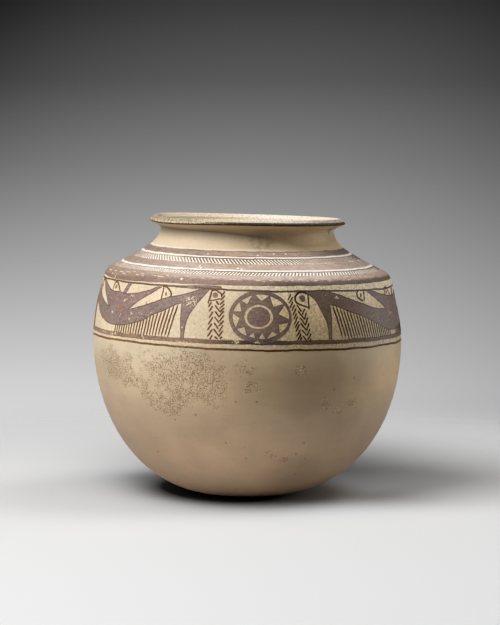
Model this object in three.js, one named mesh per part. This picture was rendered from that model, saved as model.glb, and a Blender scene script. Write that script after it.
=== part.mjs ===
// A round-bodied pottery jar with a flaring rim, hand built from six clay sections that were luted together
// with slip before firing. Every section is revolved from one shared wall profile, and meets its neighbours on
// scarfed luting faces. Millimetres, +Z up, origin at the centre of the resting face.
import * as THREE from "three";

// Outer shape: radii of the wall's turning points
const FOOT_RADIUS = 28;
const BELLY_RADIUS = 140;
const SHOULDER_TUCK = 11; // how much narrower the shoulder is than the belly
const THROAT_RADIUS = 78.5;
const NECK_SPREAD = 9.5; // how much wider the neck's foot is than its throat
const RIM_REACH = 9.7; // how far the rim flares out past the throat

// Outer shape: how far the wall climbs from each turning point to the next
const BOWL_RISE = 141;
const UPPER_WALL_RISE = 61;
const SHOULDER_RISE = 22.5;
const NECK_RISE = 15.5;
const RIM_RISE = 7.2;

// Curves between them: handle lengths that set how full each curve is, and slants in degrees
const BOWL_FOOT_HANDLE = 59;
const BOWL_BELLY_HANDLE = 87;
const UPPER_WALL_BELLY_HANDLE = 20;
const UPPER_WALL_SHOULDER_HANDLE = 17;
const UPPER_WALL_LEAN = 15;
const SHOULDER_ROLL = 6;
const SHOULDER_DIP = 0.9; // how far the shoulder's slope sags below a straight one
const NECK_FOOT_HANDLE = 5.4;
const NECK_FOOT_SLANT = 36;
const NECK_THROAT_HANDLE = 5.4;
const RIM_THROAT_HANDLE = 3.5;
const RIM_LIP_HANDLE = 5.5;
const RIM_LIP_SLANT = 34;

// Wall thickness where a potter gauges it
const FOOT_WALL = 9;
const BELLY_WALL = 7;
const SHOULDER_WALL = 6.5;
const THROAT_WALL = 6;
const RIM_WALL = 7.4;

// Lip: a sharp edge, and a bevel that climbs inward from it and rolls over a crest into the inner face
const LIP_EDGE_ROUND = 1;
const LIP_BEVEL_SLANT = 40;
const LIP_BEVEL_HANDLE = 3.5;
const LIP_CREST_HANDLE = 2.5;
const LIP_SETBACK = 3.5; // how far before the edge the inner face ends

// Luting joints: where each one shows on the outside, how far it climbs through the wall to the inside, and the
// layer of slip that fills it. Two more joints lie at the neck's foot and at the throat.
const BOWL_JOINT_HEIGHT = 50;
const BELLY_JOINT_DROP = 15;
const FRIEZE_JOINT_DROP = 15;
const SCARF_CLIMB = 4;
const LUTING_SLIP = 0.35;

// The soft jar settled to one side: its rim stands this much higher at -X than at +X
const RIM_SETTLING = 5.3;

// Facets
const FACETS_ROUND = 60;
const FACETS_FOOT = 1;
const FACETS_BOWL = 14;
const FACETS_UPPER_WALL = 8;
const FACETS_ROLL = 5;
const FACETS_SLOPE = 3;
const FACETS_NECK = 5;
const FACETS_RIM = 5;
const FACETS_LIP_EDGE = 2;
const FACETS_LIP_BEVEL = 6;
const SHORTEST_FACET = 0.5;

// Sizes that follow from these
const SHOULDER_RADIUS = BELLY_RADIUS - SHOULDER_TUCK;
const NECK_FOOT_RADIUS = THROAT_RADIUS + NECK_SPREAD;
const RIM_RADIUS = THROAT_RADIUS + RIM_REACH;
const SHOULDER_HEIGHT = BOWL_RISE + UPPER_WALL_RISE;
const NECK_FOOT_HEIGHT = SHOULDER_HEIGHT + SHOULDER_RISE;
const THROAT_HEIGHT = NECK_FOOT_HEIGHT + NECK_RISE;
const RIM_HEIGHT = THROAT_HEIGHT + RIM_RISE;

// Fired clay under its slip: tan below, buff at the belly, darkened by paint above, cream at the mouth
const clay = (color, roughness) => new THREE.MeshStandardMaterial({ color, roughness, metalness: 0 });
const TAN_CLAY = clay("#b39b78", 0.85);
const BUFF_CLAY = clay("#c4ad86", 0.8);
const PAINTED_CLAY = clay("#8d7566", 0.7);
const CREAM_CLAY = clay("#cdb890", 0.75);

// Points and headings in the (radius, height) plane of the profile
const at = (radius, height) => new THREE.Vector2(radius, height);
const heading = (degrees) => at(1, 0).rotateAround(at(0, 0), THREE.MathUtils.degToRad(degrees));
const along = (start, direction, length) => start.clone().addScaledVector(direction, length);
const OUTWARD = heading(0);
const UPWARD = heading(90);
const LIP_HEADING = heading(RIM_LIP_SLANT);

// The turning points
const FOOT_CENTRE = at(0, 0);
const FOOT_EDGE = at(FOOT_RADIUS, 0);
const BELLY = at(BELLY_RADIUS, BOWL_RISE);
const SHOULDER = at(SHOULDER_RADIUS, SHOULDER_HEIGHT);
const NECK_FOOT = at(NECK_FOOT_RADIUS, NECK_FOOT_HEIGHT);
const THROAT = at(THROAT_RADIUS, THROAT_HEIGHT);
const RIM_EDGE = at(RIM_RADIUS, RIM_HEIGHT);

// A curve that leaves one point and reaches another on set headings.
const sweep = (start, leave, leaveHandle, end, reach, reachHandle) => new THREE.CubicBezierCurve(
  start,
  along(start, leave, leaveHandle),
  along(end, reach, -reachHandle),
  end,
);

// The outer face of the wall, from the axis under the foot to the lip's edge, and the distance along it of each
// facet's end.
function outerWall() {
  const wallHeading = heading(90 + UPPER_WALL_LEAN);
  const slopeHeading = NECK_FOOT.clone().sub(SHOULDER).normalize();
  const rollStart = along(SHOULDER, wallHeading, -SHOULDER_ROLL);
  const rollEnd = along(SHOULDER, slopeHeading, SHOULDER_ROLL);
  // The middle of the slope sags half as far as the point that draws it down
  const underSlope = at(-slopeHeading.y, slopeHeading.x);
  const dip = along(rollEnd.clone().lerp(NECK_FOOT, 0.5), underSlope, 2 * SHOULDER_DIP);
  const curves = [
    [FACETS_FOOT, new THREE.LineCurve(FOOT_CENTRE, FOOT_EDGE)],
    [FACETS_BOWL, sweep(FOOT_EDGE, OUTWARD, BOWL_FOOT_HANDLE, BELLY, UPWARD, BOWL_BELLY_HANDLE)],
    [FACETS_UPPER_WALL, sweep(
      BELLY, UPWARD, UPPER_WALL_BELLY_HANDLE, rollStart, wallHeading, UPPER_WALL_SHOULDER_HANDLE,
    )],
    [FACETS_ROLL, new THREE.QuadraticBezierCurve(rollStart, SHOULDER, rollEnd)],
    [FACETS_SLOPE, new THREE.QuadraticBezierCurve(rollEnd, dip, NECK_FOOT)],
    [FACETS_NECK, sweep(
      NECK_FOOT, heading(180 - NECK_FOOT_SLANT), NECK_FOOT_HANDLE, THROAT, UPWARD, NECK_THROAT_HANDLE,
    )],
    [FACETS_RIM, sweep(THROAT, UPWARD, RIM_THROAT_HANDLE, RIM_EDGE, LIP_HEADING, RIM_LIP_HANDLE)],
  ];
  const path = new THREE.CurvePath();
  const facetEnds = [0];
  for (const [facets, curve] of curves) {
    const start = facetEnds.at(-1);
    path.add(curve);
    for (let i = 1; i <= facets; i++) facetEnds.push(start + (curve.getLength() * i) / facets);
  }
  return { path, facetEnds, length: facetEnds.at(-1) };
}

const WALL = outerWall();
const INNER_RIM_END = WALL.length - LIP_SETBACK;

// Wall thickness at a height, changing evenly between the places where it is gauged.
function wallThickness(height) {
  const gauged = [
    [0, FOOT_WALL],
    [BELLY.y, BELLY_WALL],
    [SHOULDER.y, SHOULDER_WALL],
    [THROAT.y, THROAT_WALL],
    [RIM_EDGE.y, RIM_WALL],
  ];
  const next = gauged.findIndex(([gaugeHeight]) => height < gaugeHeight);
  if (next < 0) return RIM_WALL;
  const [low, lowWall] = gauged[next - 1];
  const [high, highWall] = gauged[next];
  return THREE.MathUtils.mapLinear(height, low, high, lowWall, highWall);
}

// Points on the two faces of the wall, by their distance along the outer face.
const outerPoint = (distance) => WALL.path.getPoint(distance / WALL.length);

function innerPoint(distance) {
  const outer = outerPoint(distance);
  const tangent = WALL.path.getTangent(distance / WALL.length);
  return along(outer, at(-tangent.y, tangent.x), wallThickness(outer.y));
}

// Distance along the outer face at which the wall reaches a height.
function distanceAtHeight(height) {
  let low = FOOT_RADIUS;
  let high = WALL.length;
  while (high - low > LUTING_SLIP / 1000) {
    const middle = (low + high) / 2;
    if (outerPoint(middle).y < height) low = middle;
    else high = middle;
  }
  return low;
}

// Distances from one end of a face to the other, with a stop at each facet's end on the way.
const stops = (from, to) => [
  from,
  ...WALL.facetEnds.filter((end) => end > from + SHORTEST_FACET && end < to - SHORTEST_FACET),
  to,
];

// The lip, from the rim's edge over its crest to the end of the inner face, without its two ends.
function lipPoints() {
  const bevelHeading = heading(180 - LIP_BEVEL_SLANT);
  const corner = along(RIM_EDGE, LIP_HEADING, LIP_EDGE_ROUND);
  const bevelFoot = along(corner, bevelHeading, LIP_EDGE_ROUND);
  const innerHeading = WALL.path.getTangent(INNER_RIM_END / WALL.length).negate();
  const edge = new THREE.QuadraticBezierCurve(RIM_EDGE, corner, bevelFoot);
  const bevel = sweep(
    bevelFoot, bevelHeading, LIP_BEVEL_HANDLE, innerPoint(INNER_RIM_END), innerHeading, LIP_CREST_HANDLE,
  );
  return [
    ...edge.getPoints(FACETS_LIP_EDGE).slice(1),
    ...bevel.getPoints(FACETS_LIP_BEVEL).slice(1, -1),
  ];
}

// A section's outline: up its outer face, through the wall, and down its inner face. A joint is the distance
// along the outer face at which it shows, and null where the section ends at the axis or at the lip.
function sectionOutline(lowerJoint, upperJoint) {
  const ends = (joint, slipSide, open) => {
    if (joint === null) return open;
    const outer = joint + (slipSide * LUTING_SLIP) / 2;
    return [outer, outer + SCARF_CLIMB];
  };
  const [outerFrom, innerFrom] = ends(lowerJoint, 1, [0, 0]);
  const [outerTo, innerTo] = ends(upperJoint, -1, [WALL.length, INNER_RIM_END]);
  const outline = [
    ...stops(outerFrom, outerTo).map(outerPoint),
    ...(upperJoint === null ? lipPoints() : []),
    ...stops(innerFrom, innerTo).map(innerPoint).reverse(),
  ];
  if (lowerJoint !== null) outline.push(outline[0].clone());
  return outline;
}

// Settling tips every level of the jar about Y, by an amount that grows with its height.
function settle(geometry) {
  const position = geometry.getAttribute("position");
  for (let i = 0; i < position.count; i++) {
    const lift = (-position.getX(i) / RIM_RADIUS) * (RIM_SETTLING / 2);
    position.setZ(i, position.getZ(i) * (1 + lift / RIM_HEIGHT));
  }
}

function section(name, material, lowerJoint, upperJoint) {
  const geometry = new THREE.LatheGeometry(sectionOutline(lowerJoint, upperJoint), FACETS_ROUND);
  geometry.rotateX(Math.PI / 2);
  settle(geometry);
  const mesh = new THREE.Mesh(geometry, material);
  mesh.name = name;
  return mesh;
}

const BOWL_JOINT = distanceAtHeight(BOWL_JOINT_HEIGHT);
const BELLY_JOINT = distanceAtHeight(BELLY.y - BELLY_JOINT_DROP);
const FRIEZE_JOINT = distanceAtHeight(SHOULDER.y - FRIEZE_JOINT_DROP);
const NECK_JOINT = distanceAtHeight(NECK_FOOT.y);
const RIM_JOINT = distanceAtHeight(THROAT.y);

const jar = new THREE.Group();
jar.add(
  section("base_bowl", TAN_CLAY, null, BOWL_JOINT),
  section("belly_wall", BUFF_CLAY, BOWL_JOINT, BELLY_JOINT),
  section("frieze_wall", PAINTED_CLAY, BELLY_JOINT, FRIEZE_JOINT),
  section("shoulder", PAINTED_CLAY, FRIEZE_JOINT, NECK_JOINT),
  section("neck", CREAM_CLAY, NECK_JOINT, RIM_JOINT),
  section("rim", CREAM_CLAY, RIM_JOINT, null),
);

export default jar;
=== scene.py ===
"""Looks of a hand-built, painted pottery jar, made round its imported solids. Metres, +Z up, viewer at -Y.

The clay sections and the paint are all laid out flat on the unrolled wall, as a potter would plan them, and
then wrapped round it: flat x runs round the jar, flat y runs up the wall from the belly, and flat z stands
off it.
"""

import math

import bpy
import numpy as np
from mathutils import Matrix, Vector
from mathutils.geometry import delaunay_2d_cdt, interpolate_bezier


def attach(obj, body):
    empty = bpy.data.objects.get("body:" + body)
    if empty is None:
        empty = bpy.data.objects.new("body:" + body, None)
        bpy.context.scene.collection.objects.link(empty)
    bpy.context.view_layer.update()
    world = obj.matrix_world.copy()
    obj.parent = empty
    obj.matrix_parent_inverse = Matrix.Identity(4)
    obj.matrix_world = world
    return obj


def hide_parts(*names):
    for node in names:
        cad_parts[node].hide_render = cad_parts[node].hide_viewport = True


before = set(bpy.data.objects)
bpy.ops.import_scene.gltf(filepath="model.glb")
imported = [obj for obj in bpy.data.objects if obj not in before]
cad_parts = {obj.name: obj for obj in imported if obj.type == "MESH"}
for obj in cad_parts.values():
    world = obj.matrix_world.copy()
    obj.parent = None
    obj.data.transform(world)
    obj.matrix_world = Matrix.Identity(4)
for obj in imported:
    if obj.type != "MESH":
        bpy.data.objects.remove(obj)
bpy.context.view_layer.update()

MM = 0.001

# Wall of the jar, as in its solids: radii, heights and curve handles of the outer face
FOOT_RADIUS = 0.028
BELLY_RADIUS = 0.140
SHOULDER_RADIUS = 0.129
NECK_FOOT_RADIUS = 0.088
THROAT_RADIUS = 0.0785
RIM_RADIUS = 0.0882
BELLY_HEIGHT = 0.141
SHOULDER_HEIGHT = 0.202
NECK_FOOT_HEIGHT = 0.2245
THROAT_HEIGHT = 0.240
RIM_HEIGHT = 0.2472
BOWL_FOOT_HANDLE = 0.059
BOWL_BELLY_HANDLE = 0.087
UPPER_WALL_BELLY_HANDLE = 0.020
UPPER_WALL_SHOULDER_HANDLE = 0.017
UPPER_WALL_LEAN = math.radians(15)
SHOULDER_ROLL = 0.006
SHOULDER_DIP = 0.0009
NECK_FOOT_HANDLE = 0.0054
NECK_FOOT_SLANT = math.radians(36)
NECK_THROAT_HANDLE = 0.0054
RIM_THROAT_HANDLE = 0.0035
RIM_LIP_HANDLE = 0.0055
RIM_LIP_SLANT = math.radians(34)
FOOT_WALL = 0.009
BELLY_WALL = 0.007
SHOULDER_WALL = 0.0065
THROAT_WALL = 0.006
RIM_WALL = 0.0074
LIP_EDGE_ROUND = 0.001
LIP_BEVEL_SLANT = math.radians(40)
LIP_BEVEL_HANDLE = 0.0035
LIP_CREST_HANDLE = 0.0025
LIP_SETBACK = 0.0035
BOWL_JOINT_HEIGHT = 0.050
BELLY_JOINT_HEIGHT = 0.126
FRIEZE_JOINT_HEIGHT = 0.187
SCARF_CLIMB = 0.004
RIM_SETTLING = 0.0053
SETTLED_SHARE = 0.5
RIM_NOD = 0.0021
RIM_SAG = 0.0007
RIM_DROOP = 0.0021
RIM_DROOP_PLACE = (-0.82, -0.57, 0.0)
RIM_DROOP_REACH = 0.6

# Fineness of the meshes
WALL_STEP = 0.0005
PAST_EDGE = 0.004
OUTER_ROW = 0.0015
INNER_ROW = 0.004
LIP_EDGE_ROWS = 5
LIP_BEVEL_ROWS = 14
SECTION_COLUMNS = 480
BAND_COLUMNS = 1440
BAND_ROW = 0.001
PAINT_STEP_MM = 0.8
PAINT_FILL_MM = 4.0
STROKE_ROWS = 9
DRAWING_GRAIN_MM = 0.001
SEAM = 2e-6
CORNER = math.radians(40)

# Hand of the potter and of the painter
LOPSIDED = 0.0008
LOPSIDED_REACH = 0.018
WAVER = 0.0005
WAVER_LENGTH = 0.11
SCRAPE = 0.00012
SCRAPE_LENGTH = 0.007
SHOULDER_DRIFT = 0.0010
WOBBLE = 0.0004
WOBBLE_LENGTH = 0.016
BRISTLE = 0.00016
BRISTLE_LENGTH = 0.0026
PAINT_SUNK = 0.00025
BAND_PROUD = 0.00010
FIGURE_PROUD = 0.00012
STROKE_PROUD = 0.00014
LINE_PROUD = 0.00016
STROKE_TAPER = 0.18
STROKE_END_POWER = 8
LINE_END_ROUND = 0.9
NO_WOBBLE = 0.0
# A noise swings about its middle by about a quarter, and this brings it to about 1
NOISE_MIDDLE = 0.5
NOISE_SWING = 4.0
SCRAPE_STRETCH = (0.12, 0.12, 1)


# Wall profile

def heading(angle):
    return Vector((math.cos(angle), math.sin(angle)))


def wall_points():
    """(radius, height) points of the outer face, from the axis under the foot to past the lip's edge."""
    up = heading(math.pi / 2)
    out = heading(0)
    lip = heading(RIM_LIP_SLANT)
    lean = heading(math.pi / 2 + UPPER_WALL_LEAN)
    foot = Vector((FOOT_RADIUS, 0))
    belly = Vector((BELLY_RADIUS, BELLY_HEIGHT))
    shoulder = Vector((SHOULDER_RADIUS, SHOULDER_HEIGHT))
    neck_foot = Vector((NECK_FOOT_RADIUS, NECK_FOOT_HEIGHT))
    throat = Vector((THROAT_RADIUS, THROAT_HEIGHT))
    rim_edge = Vector((RIM_RADIUS, RIM_HEIGHT))
    slope = (neck_foot - shoulder).normalized()
    roll_start = shoulder - lean * SHOULDER_ROLL
    roll_end = shoulder + slope * SHOULDER_ROLL
    dip = roll_end.lerp(neck_foot, 0.5) + Vector((-slope.y, slope.x)) * 2 * SHOULDER_DIP
    past_edge = rim_edge + lip * PAST_EDGE

    def straight(start, end):
        return start, start.lerp(end, 1 / 3), start.lerp(end, 2 / 3), end

    curves = [
        straight(Vector((0, 0)), foot),
        (foot, foot + out * BOWL_FOOT_HANDLE, belly - up * BOWL_BELLY_HANDLE, belly),
        (
            belly,
            belly + up * UPPER_WALL_BELLY_HANDLE,
            roll_start - lean * UPPER_WALL_SHOULDER_HANDLE,
            roll_start,
        ),
        (roll_start, roll_start.lerp(shoulder, 2 / 3), roll_end.lerp(shoulder, 2 / 3), roll_end),
        (roll_end, roll_end.lerp(dip, 2 / 3), neck_foot.lerp(dip, 2 / 3), neck_foot),
        (
            neck_foot,
            neck_foot + heading(math.pi - NECK_FOOT_SLANT) * NECK_FOOT_HANDLE,
            throat - up * NECK_THROAT_HANDLE,
            throat,
        ),
        (throat, throat + up * RIM_THROAT_HANDLE, rim_edge - lip * RIM_LIP_HANDLE, rim_edge),
        straight(rim_edge, past_edge),
    ]
    points = [Vector((0, 0))]
    for start, leave, reach, end in curves:
        count = math.ceil((end - start).length / WALL_STEP) + 2
        points += interpolate_bezier(start, leave, reach, end, count)[1:]
    return np.array(points)


WALL = wall_points()
WALL_RUN = np.concatenate([[0], np.cumsum(np.hypot(*np.diff(WALL, axis=0).T))])
BELLY_RUN = float(WALL_RUN[np.argmin(np.hypot(WALL[:, 0] - BELLY_RADIUS, WALL[:, 1] - BELLY_HEIGHT))])
CLIMB = WALL_RUN - BELLY_RUN  # flat y of each wall point
AXIS_CLIMB = -BELLY_RUN
EDGE_CLIMB = float(CLIMB[-1]) - PAST_EDGE


def climb_at_height(height):
    """Flat y at which the outer face reaches a height."""
    return float(np.interp(height, WALL[:, 1], CLIMB))


def height_at_climb(climb):
    """Height at which the outer face has a flat y."""
    return float(np.interp(climb, CLIMB, WALL[:, 1]))


def wall_thickness(climb):
    height = np.interp(climb, CLIMB, WALL[:, 1])
    gauged = [0, BELLY_HEIGHT, SHOULDER_HEIGHT, THROAT_HEIGHT, RIM_HEIGHT]
    return np.interp(height, gauged, [FOOT_WALL, BELLY_WALL, SHOULDER_WALL, THROAT_WALL, RIM_WALL])


# Node trees

class Nodes:
    """A node tree being wired. Values may be numbers or the outputs of other nodes."""

    def __init__(self, tree):
        self.tree = tree

    def add(self, kind, inputs=None, **settings):
        node = self.tree.nodes.new(kind)
        for name, value in settings.items():
            setattr(node, name, value)
        for key, value in (inputs or {}).items():
            if isinstance(value, bpy.types.NodeSocket):
                self.tree.links.new(value, node.inputs[key])
            else:
                node.inputs[key].default_value = value
        return node.outputs

    def math(self, operation, a, b=0.0, c=0.0):
        return self.add("ShaderNodeMath", {0: a, 1: b, 2: c}, operation=operation)[0]

    def plus(self, a, b):
        return self.math("ADD", a, b)

    def minus(self, a, b):
        return self.math("SUBTRACT", a, b)

    def times(self, a, b):
        return self.math("MULTIPLY", a, b)

    def over(self, a, b):
        return self.math("DIVIDE", a, b)

    def times_plus(self, a, b, c):
        """a times b, plus c."""
        return self.math("MULTIPLY_ADD", a, b, c)

    def greater(self, a, b):
        return self.math("MAXIMUM", a, b)

    def lesser(self, a, b):
        return self.math("MINIMUM", a, b)

    def fading(self, distance):
        """1 at no distance, and less and less away from it."""
        return self.math("EXPONENT", self.times(distance, -1.0))

    def vector(self, operation, a, b=(0, 0, 0)):
        return self.add("ShaderNodeVectorMath", {0: a, 1: b}, operation=operation)[0]

    def scaled(self, vector, factor):
        return self.add("ShaderNodeVectorMath", {0: vector, "Scale": factor}, operation="SCALE")[0]

    def length(self, vector):
        return self.add("ShaderNodeVectorMath", {0: vector}, operation="LENGTH")["Value"]

    def combine(self, x=0.0, y=0.0, z=0.0):
        return self.add("ShaderNodeCombineXYZ", {0: x, 1: y, 2: z})[0]

    def split(self, vector):
        return self.add("ShaderNodeSeparateXYZ", {0: vector})

    def noise(self, vector, scale, detail=2.0, roughness=0.5):
        """Factor and colour of a noise."""
        values = {"Vector": vector, "Scale": scale, "Detail": detail, "Roughness": roughness}
        return self.add("ShaderNodeTexNoise", values)

    def spread(self, value, low, high, to_low=0.0, to_high=1.0, smooth=True):
        """A value moved from one range to another, and held at its ends."""
        kind = "SMOOTHSTEP" if smooth else "LINEAR"
        values = {0: value, 1: low, 2: high, 3: to_low, 4: to_high}
        return self.add("ShaderNodeMapRange", values, interpolation_type=kind, clamp=True)[0]


# What the painter's hand does to each piece
HAND = ("Drift", "Wobble", "Bristle")
FLOAT = "NodeSocketFloat"
SOCKETS = {
    "Geometry": "NodeSocketGeometry",
    "Wall": "NodeSocketObject",
    "Material": "NodeSocketMaterial",
    "Columns": "NodeSocketInt",
    "Seed": "NodeSocketInt",
}


def geometry_tree(name, inputs):
    """A new geometry tree with named inputs: the nodes, what it is given, and where its result goes."""
    tree = bpy.data.node_groups.new(name, "GeometryNodeTree")
    for label in ("Geometry", *inputs):
        tree.interface.new_socket(label, in_out="INPUT", socket_type=SOCKETS.get(label, FLOAT))
    tree.interface.new_socket("Geometry", in_out="OUTPUT", socket_type="NodeSocketGeometry")
    nodes = Nodes(tree)
    given = nodes.add("NodeGroupInput")
    result = tree.nodes.new("NodeGroupOutput").inputs[0]
    return nodes, given, result


def rim_drop(nodes, position, height):
    """How far the rim hangs below a level one: it nods and sags to the back and droops at its front left."""
    flattened = nodes.vector("MULTIPLY", position, (1 / RIM_RADIUS, 1 / RIM_RADIUS, 0))
    depth = nodes.split(flattened)[1]
    drop = nodes.times(depth, nodes.times_plus(depth, RIM_SAG, RIM_NOD))
    away = nodes.length(nodes.vector("SUBTRACT", flattened, RIM_DROOP_PLACE))
    away = nodes.math("POWER", nodes.over(away, RIM_DROOP_REACH), 2.0)
    drop = nodes.times_plus(nodes.fading(away), RIM_DROOP, drop)
    return nodes.times(drop, nodes.spread(height, NECK_FOOT_HEIGHT, RIM_HEIGHT))


def wrap_tree():
    """Wraps flat work round the wall, with the painter's wobble, the potter's waver and its settling."""
    inputs = (
        "Wall", "Belly radius", "Belly run", "Rim radius", "Rim height", "Shoulder height",
        *HAND, "Waver", "Scrape", "Lopsided", "Settling",
    )
    nodes, given, result = geometry_tree("Wrap on wall", inputs)
    flat = nodes.split(nodes.add("GeometryNodeInputPosition")[0])
    radius = given["Belly radius"]

    def round_jar(turn):
        return nodes.combine(nodes.math("SINE", turn), nodes.times(nodes.math("COSINE", turn), -1.0))

    # The painter's hand shifts x and y by noises read on a cylinder, so that they meet at the back
    turn = nodes.over(flat[0], radius)
    place = nodes.vector("ADD", nodes.scaled(round_jar(turn), radius), nodes.combine(0.0, 0.0, flat[1]))
    shifts = []
    for size, length in (("Wobble", WOBBLE_LENGTH), ("Bristle", BRISTLE_LENGTH)):
        swing = nodes.vector("SUBTRACT", nodes.noise(place, 1 / length, detail=1.0)[1], (NOISE_MIDDLE,) * 3)
        shifts.append(nodes.scaled(swing, nodes.times(given[size], NOISE_SWING)))
    shift = nodes.split(nodes.vector("ADD", *shifts))
    turn = nodes.plus(turn, nodes.over(shift[0], radius))
    rise = nodes.times_plus(nodes.math("SINE", turn), given["Drift"], shift[1])
    run = nodes.plus(nodes.plus(flat[1], rise), given["Belly run"])
    profile = nodes.add("GeometryNodeObjectInfo", {"Object": given["Wall"]})["Geometry"]
    sample = nodes.add("GeometryNodeSampleCurve", {"Curves": profile, "Length": run}, mode="LENGTH")
    on_wall = nodes.split(sample["Position"])
    tangent = nodes.split(sample["Tangent"])
    wide = nodes.plus(on_wall[0], nodes.times(tangent[2], flat[2]))
    high = nodes.minus(on_wall[2], nodes.times(tangent[0], flat[2]))
    wrapped = nodes.vector("ADD", nodes.scaled(round_jar(turn), wide), nodes.combine(0.0, 0.0, high))
    geometry = nodes.add("GeometryNodeSetPosition", {"Geometry": given["Geometry"], "Position": wrapped})[0]

    # The potter's hand moves the wall in and out, less and less towards the axis
    position = nodes.add("GeometryNodeInputPosition")[0]
    flattened = nodes.vector("MULTIPLY", position, (1, 1, 0))
    stretched = nodes.vector("MULTIPLY", position, SCRAPE_STRETCH)
    broad = nodes.minus(nodes.noise(position, 1 / WAVER_LENGTH, detail=1.0)[0], NOISE_MIDDLE)
    scraped = nodes.minus(nodes.noise(stretched, 1 / SCRAPE_LENGTH, detail=1.0)[0], NOISE_MIDDLE)
    sway = nodes.times_plus(broad, given["Waver"], nodes.times(scraped, given["Scrape"]))
    sway = nodes.times(nodes.over(sway, radius), NOISE_SWING)

    # The jar settles to the right, its rim is uneven, and its shoulder stands a little to the right
    across, _, up = nodes.split(position)
    settling = nodes.over(nodes.times(across, given["Settling"]), given["Rim radius"])
    settling = nodes.times(settling, nodes.over(up, given["Rim height"]))
    drop = nodes.times_plus(settling, -SETTLED_SHARE, nodes.times(rim_drop(nodes, position, up), -1.0))
    above = nodes.over(nodes.minus(up, given["Shoulder height"]), LOPSIDED_REACH)
    near = nodes.fading(nodes.times(above, above))
    from_axis = nodes.length(flattened)
    near = nodes.times(near, nodes.lesser(nodes.over(from_axis, radius), 1.0))
    aside = nodes.times(near, given["Lopsided"])
    moved = nodes.vector("ADD", nodes.scaled(flattened, sway), nodes.combine(aside, 0.0, drop))
    geometry = nodes.add("GeometryNodeSetPosition", {"Geometry": geometry, "Offset": moved})[0]
    nodes.tree.links.new(geometry, result)
    return nodes.tree


def wrapped_and_finished(nodes, given, geometry):
    """Ends a tree: wraps its work round the wall, closes the seams, smooths it and sets its material."""
    group = nodes.tree.nodes.new("GeometryNodeGroup")
    group.node_tree = WRAP
    sizes = {
        "Wall": WALL_CURVE, "Belly radius": BELLY_RADIUS, "Belly run": BELLY_RUN, "Rim radius": RIM_RADIUS,
        "Rim height": RIM_HEIGHT, "Shoulder height": SHOULDER_HEIGHT,
        "Waver": WAVER, "Scrape": SCRAPE, "Lopsided": LOPSIDED, "Settling": RIM_SETTLING,
    }
    for label, value in sizes.items():
        group.inputs[label].default_value = value
    nodes.tree.links.new(geometry, group.inputs["Geometry"])
    for label in HAND:
        nodes.tree.links.new(given[label], group.inputs[label])
    merged = nodes.add("GeometryNodeMergeByDistance", {0: group.outputs[0], "Distance": SEAM})[0]
    smooth = nodes.add("GeometryNodeSetShadeSmooth", {0: merged, "Shade Smooth": True}, domain="FACE")[0]
    angle = nodes.add("GeometryNodeInputMeshEdgeAngle")[0]
    corner = nodes.add("FunctionNodeCompare", {0: angle, 1: CORNER}, operation="GREATER_THAN")[0]
    sharp = nodes.add(
        "GeometryNodeSetShadeSmooth", {0: smooth, "Selection": corner, "Shade Smooth": False}, domain="EDGE"
    )[0]
    return nodes.add("GeometryNodeSetMaterial", {0: sharp, "Material": given["Material"]})[0]


def ring_tree():
    """Carries a loop of flat (y, z) points all the way round the jar."""
    nodes, given, result = geometry_tree("Ring round the wall", ("Columns", *HAND, "Material"))
    loop = given["Geometry"]
    rows = nodes.add("GeometryNodeAttributeDomainSize", {"Geometry": loop}, component="MESH")["Point Count"]
    grid = nodes.add(
        "GeometryNodeMeshGrid", {"Vertices X": nodes.plus(given["Columns"], 1.0), "Vertices Y": rows}
    )[0]
    index = nodes.add("GeometryNodeInputIndex")[0]
    column = nodes.math("FLOOR", nodes.over(index, rows))
    row = nodes.minus(index, nodes.times(column, rows))
    position = nodes.add("GeometryNodeInputPosition")[0]
    sampled = {"Geometry": loop, "Value": position, "Index": row}
    point = nodes.add("GeometryNodeSampleIndex", sampled, data_type="FLOAT_VECTOR")[0]
    share = nodes.minus(nodes.over(column, given["Columns"]), 0.5)
    around = nodes.combine(nodes.times(share, 2 * math.pi * BELLY_RADIUS))
    placed = nodes.add(
        "GeometryNodeSetPosition", {"Geometry": grid, "Position": nodes.vector("ADD", point, around)}
    )[0]
    nodes.tree.links.new(wrapped_and_finished(nodes, given, placed), result)
    return nodes.tree


def filmed(nodes, geometry, proud):
    """A flat sheet of paint as a closed film, sunk a little into the clay."""
    sunk = nodes.add("GeometryNodeSetPosition", {"Geometry": geometry, "Offset": (0, 0, -PAINT_SUNK)})[0]
    thick = nodes.plus(proud, PAINT_SUNK)
    raised = nodes.add(
        "GeometryNodeExtrudeMesh",
        {"Mesh": sunk, "Offset": (0, 0, 1), "Offset Scale": thick, "Individual": False},
        mode="FACES",
    )[0]
    under = nodes.add("GeometryNodeFlipFaces", {0: sunk})[0]
    join = nodes.tree.nodes.new("GeometryNodeJoinGeometry")
    for part in (raised, under):
        nodes.tree.links.new(part, join.inputs[0])
    return join.outputs[0]


def figure_tree():
    """Lays flat painted shapes on the wall as a film of paint."""
    nodes, given, result = geometry_tree("Painted figures", ("Proud", *HAND, "Material"))
    film = filmed(nodes, given["Geometry"], given["Proud"])
    nodes.tree.links.new(wrapped_and_finished(nodes, given, film), result)
    return nodes.tree


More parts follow.
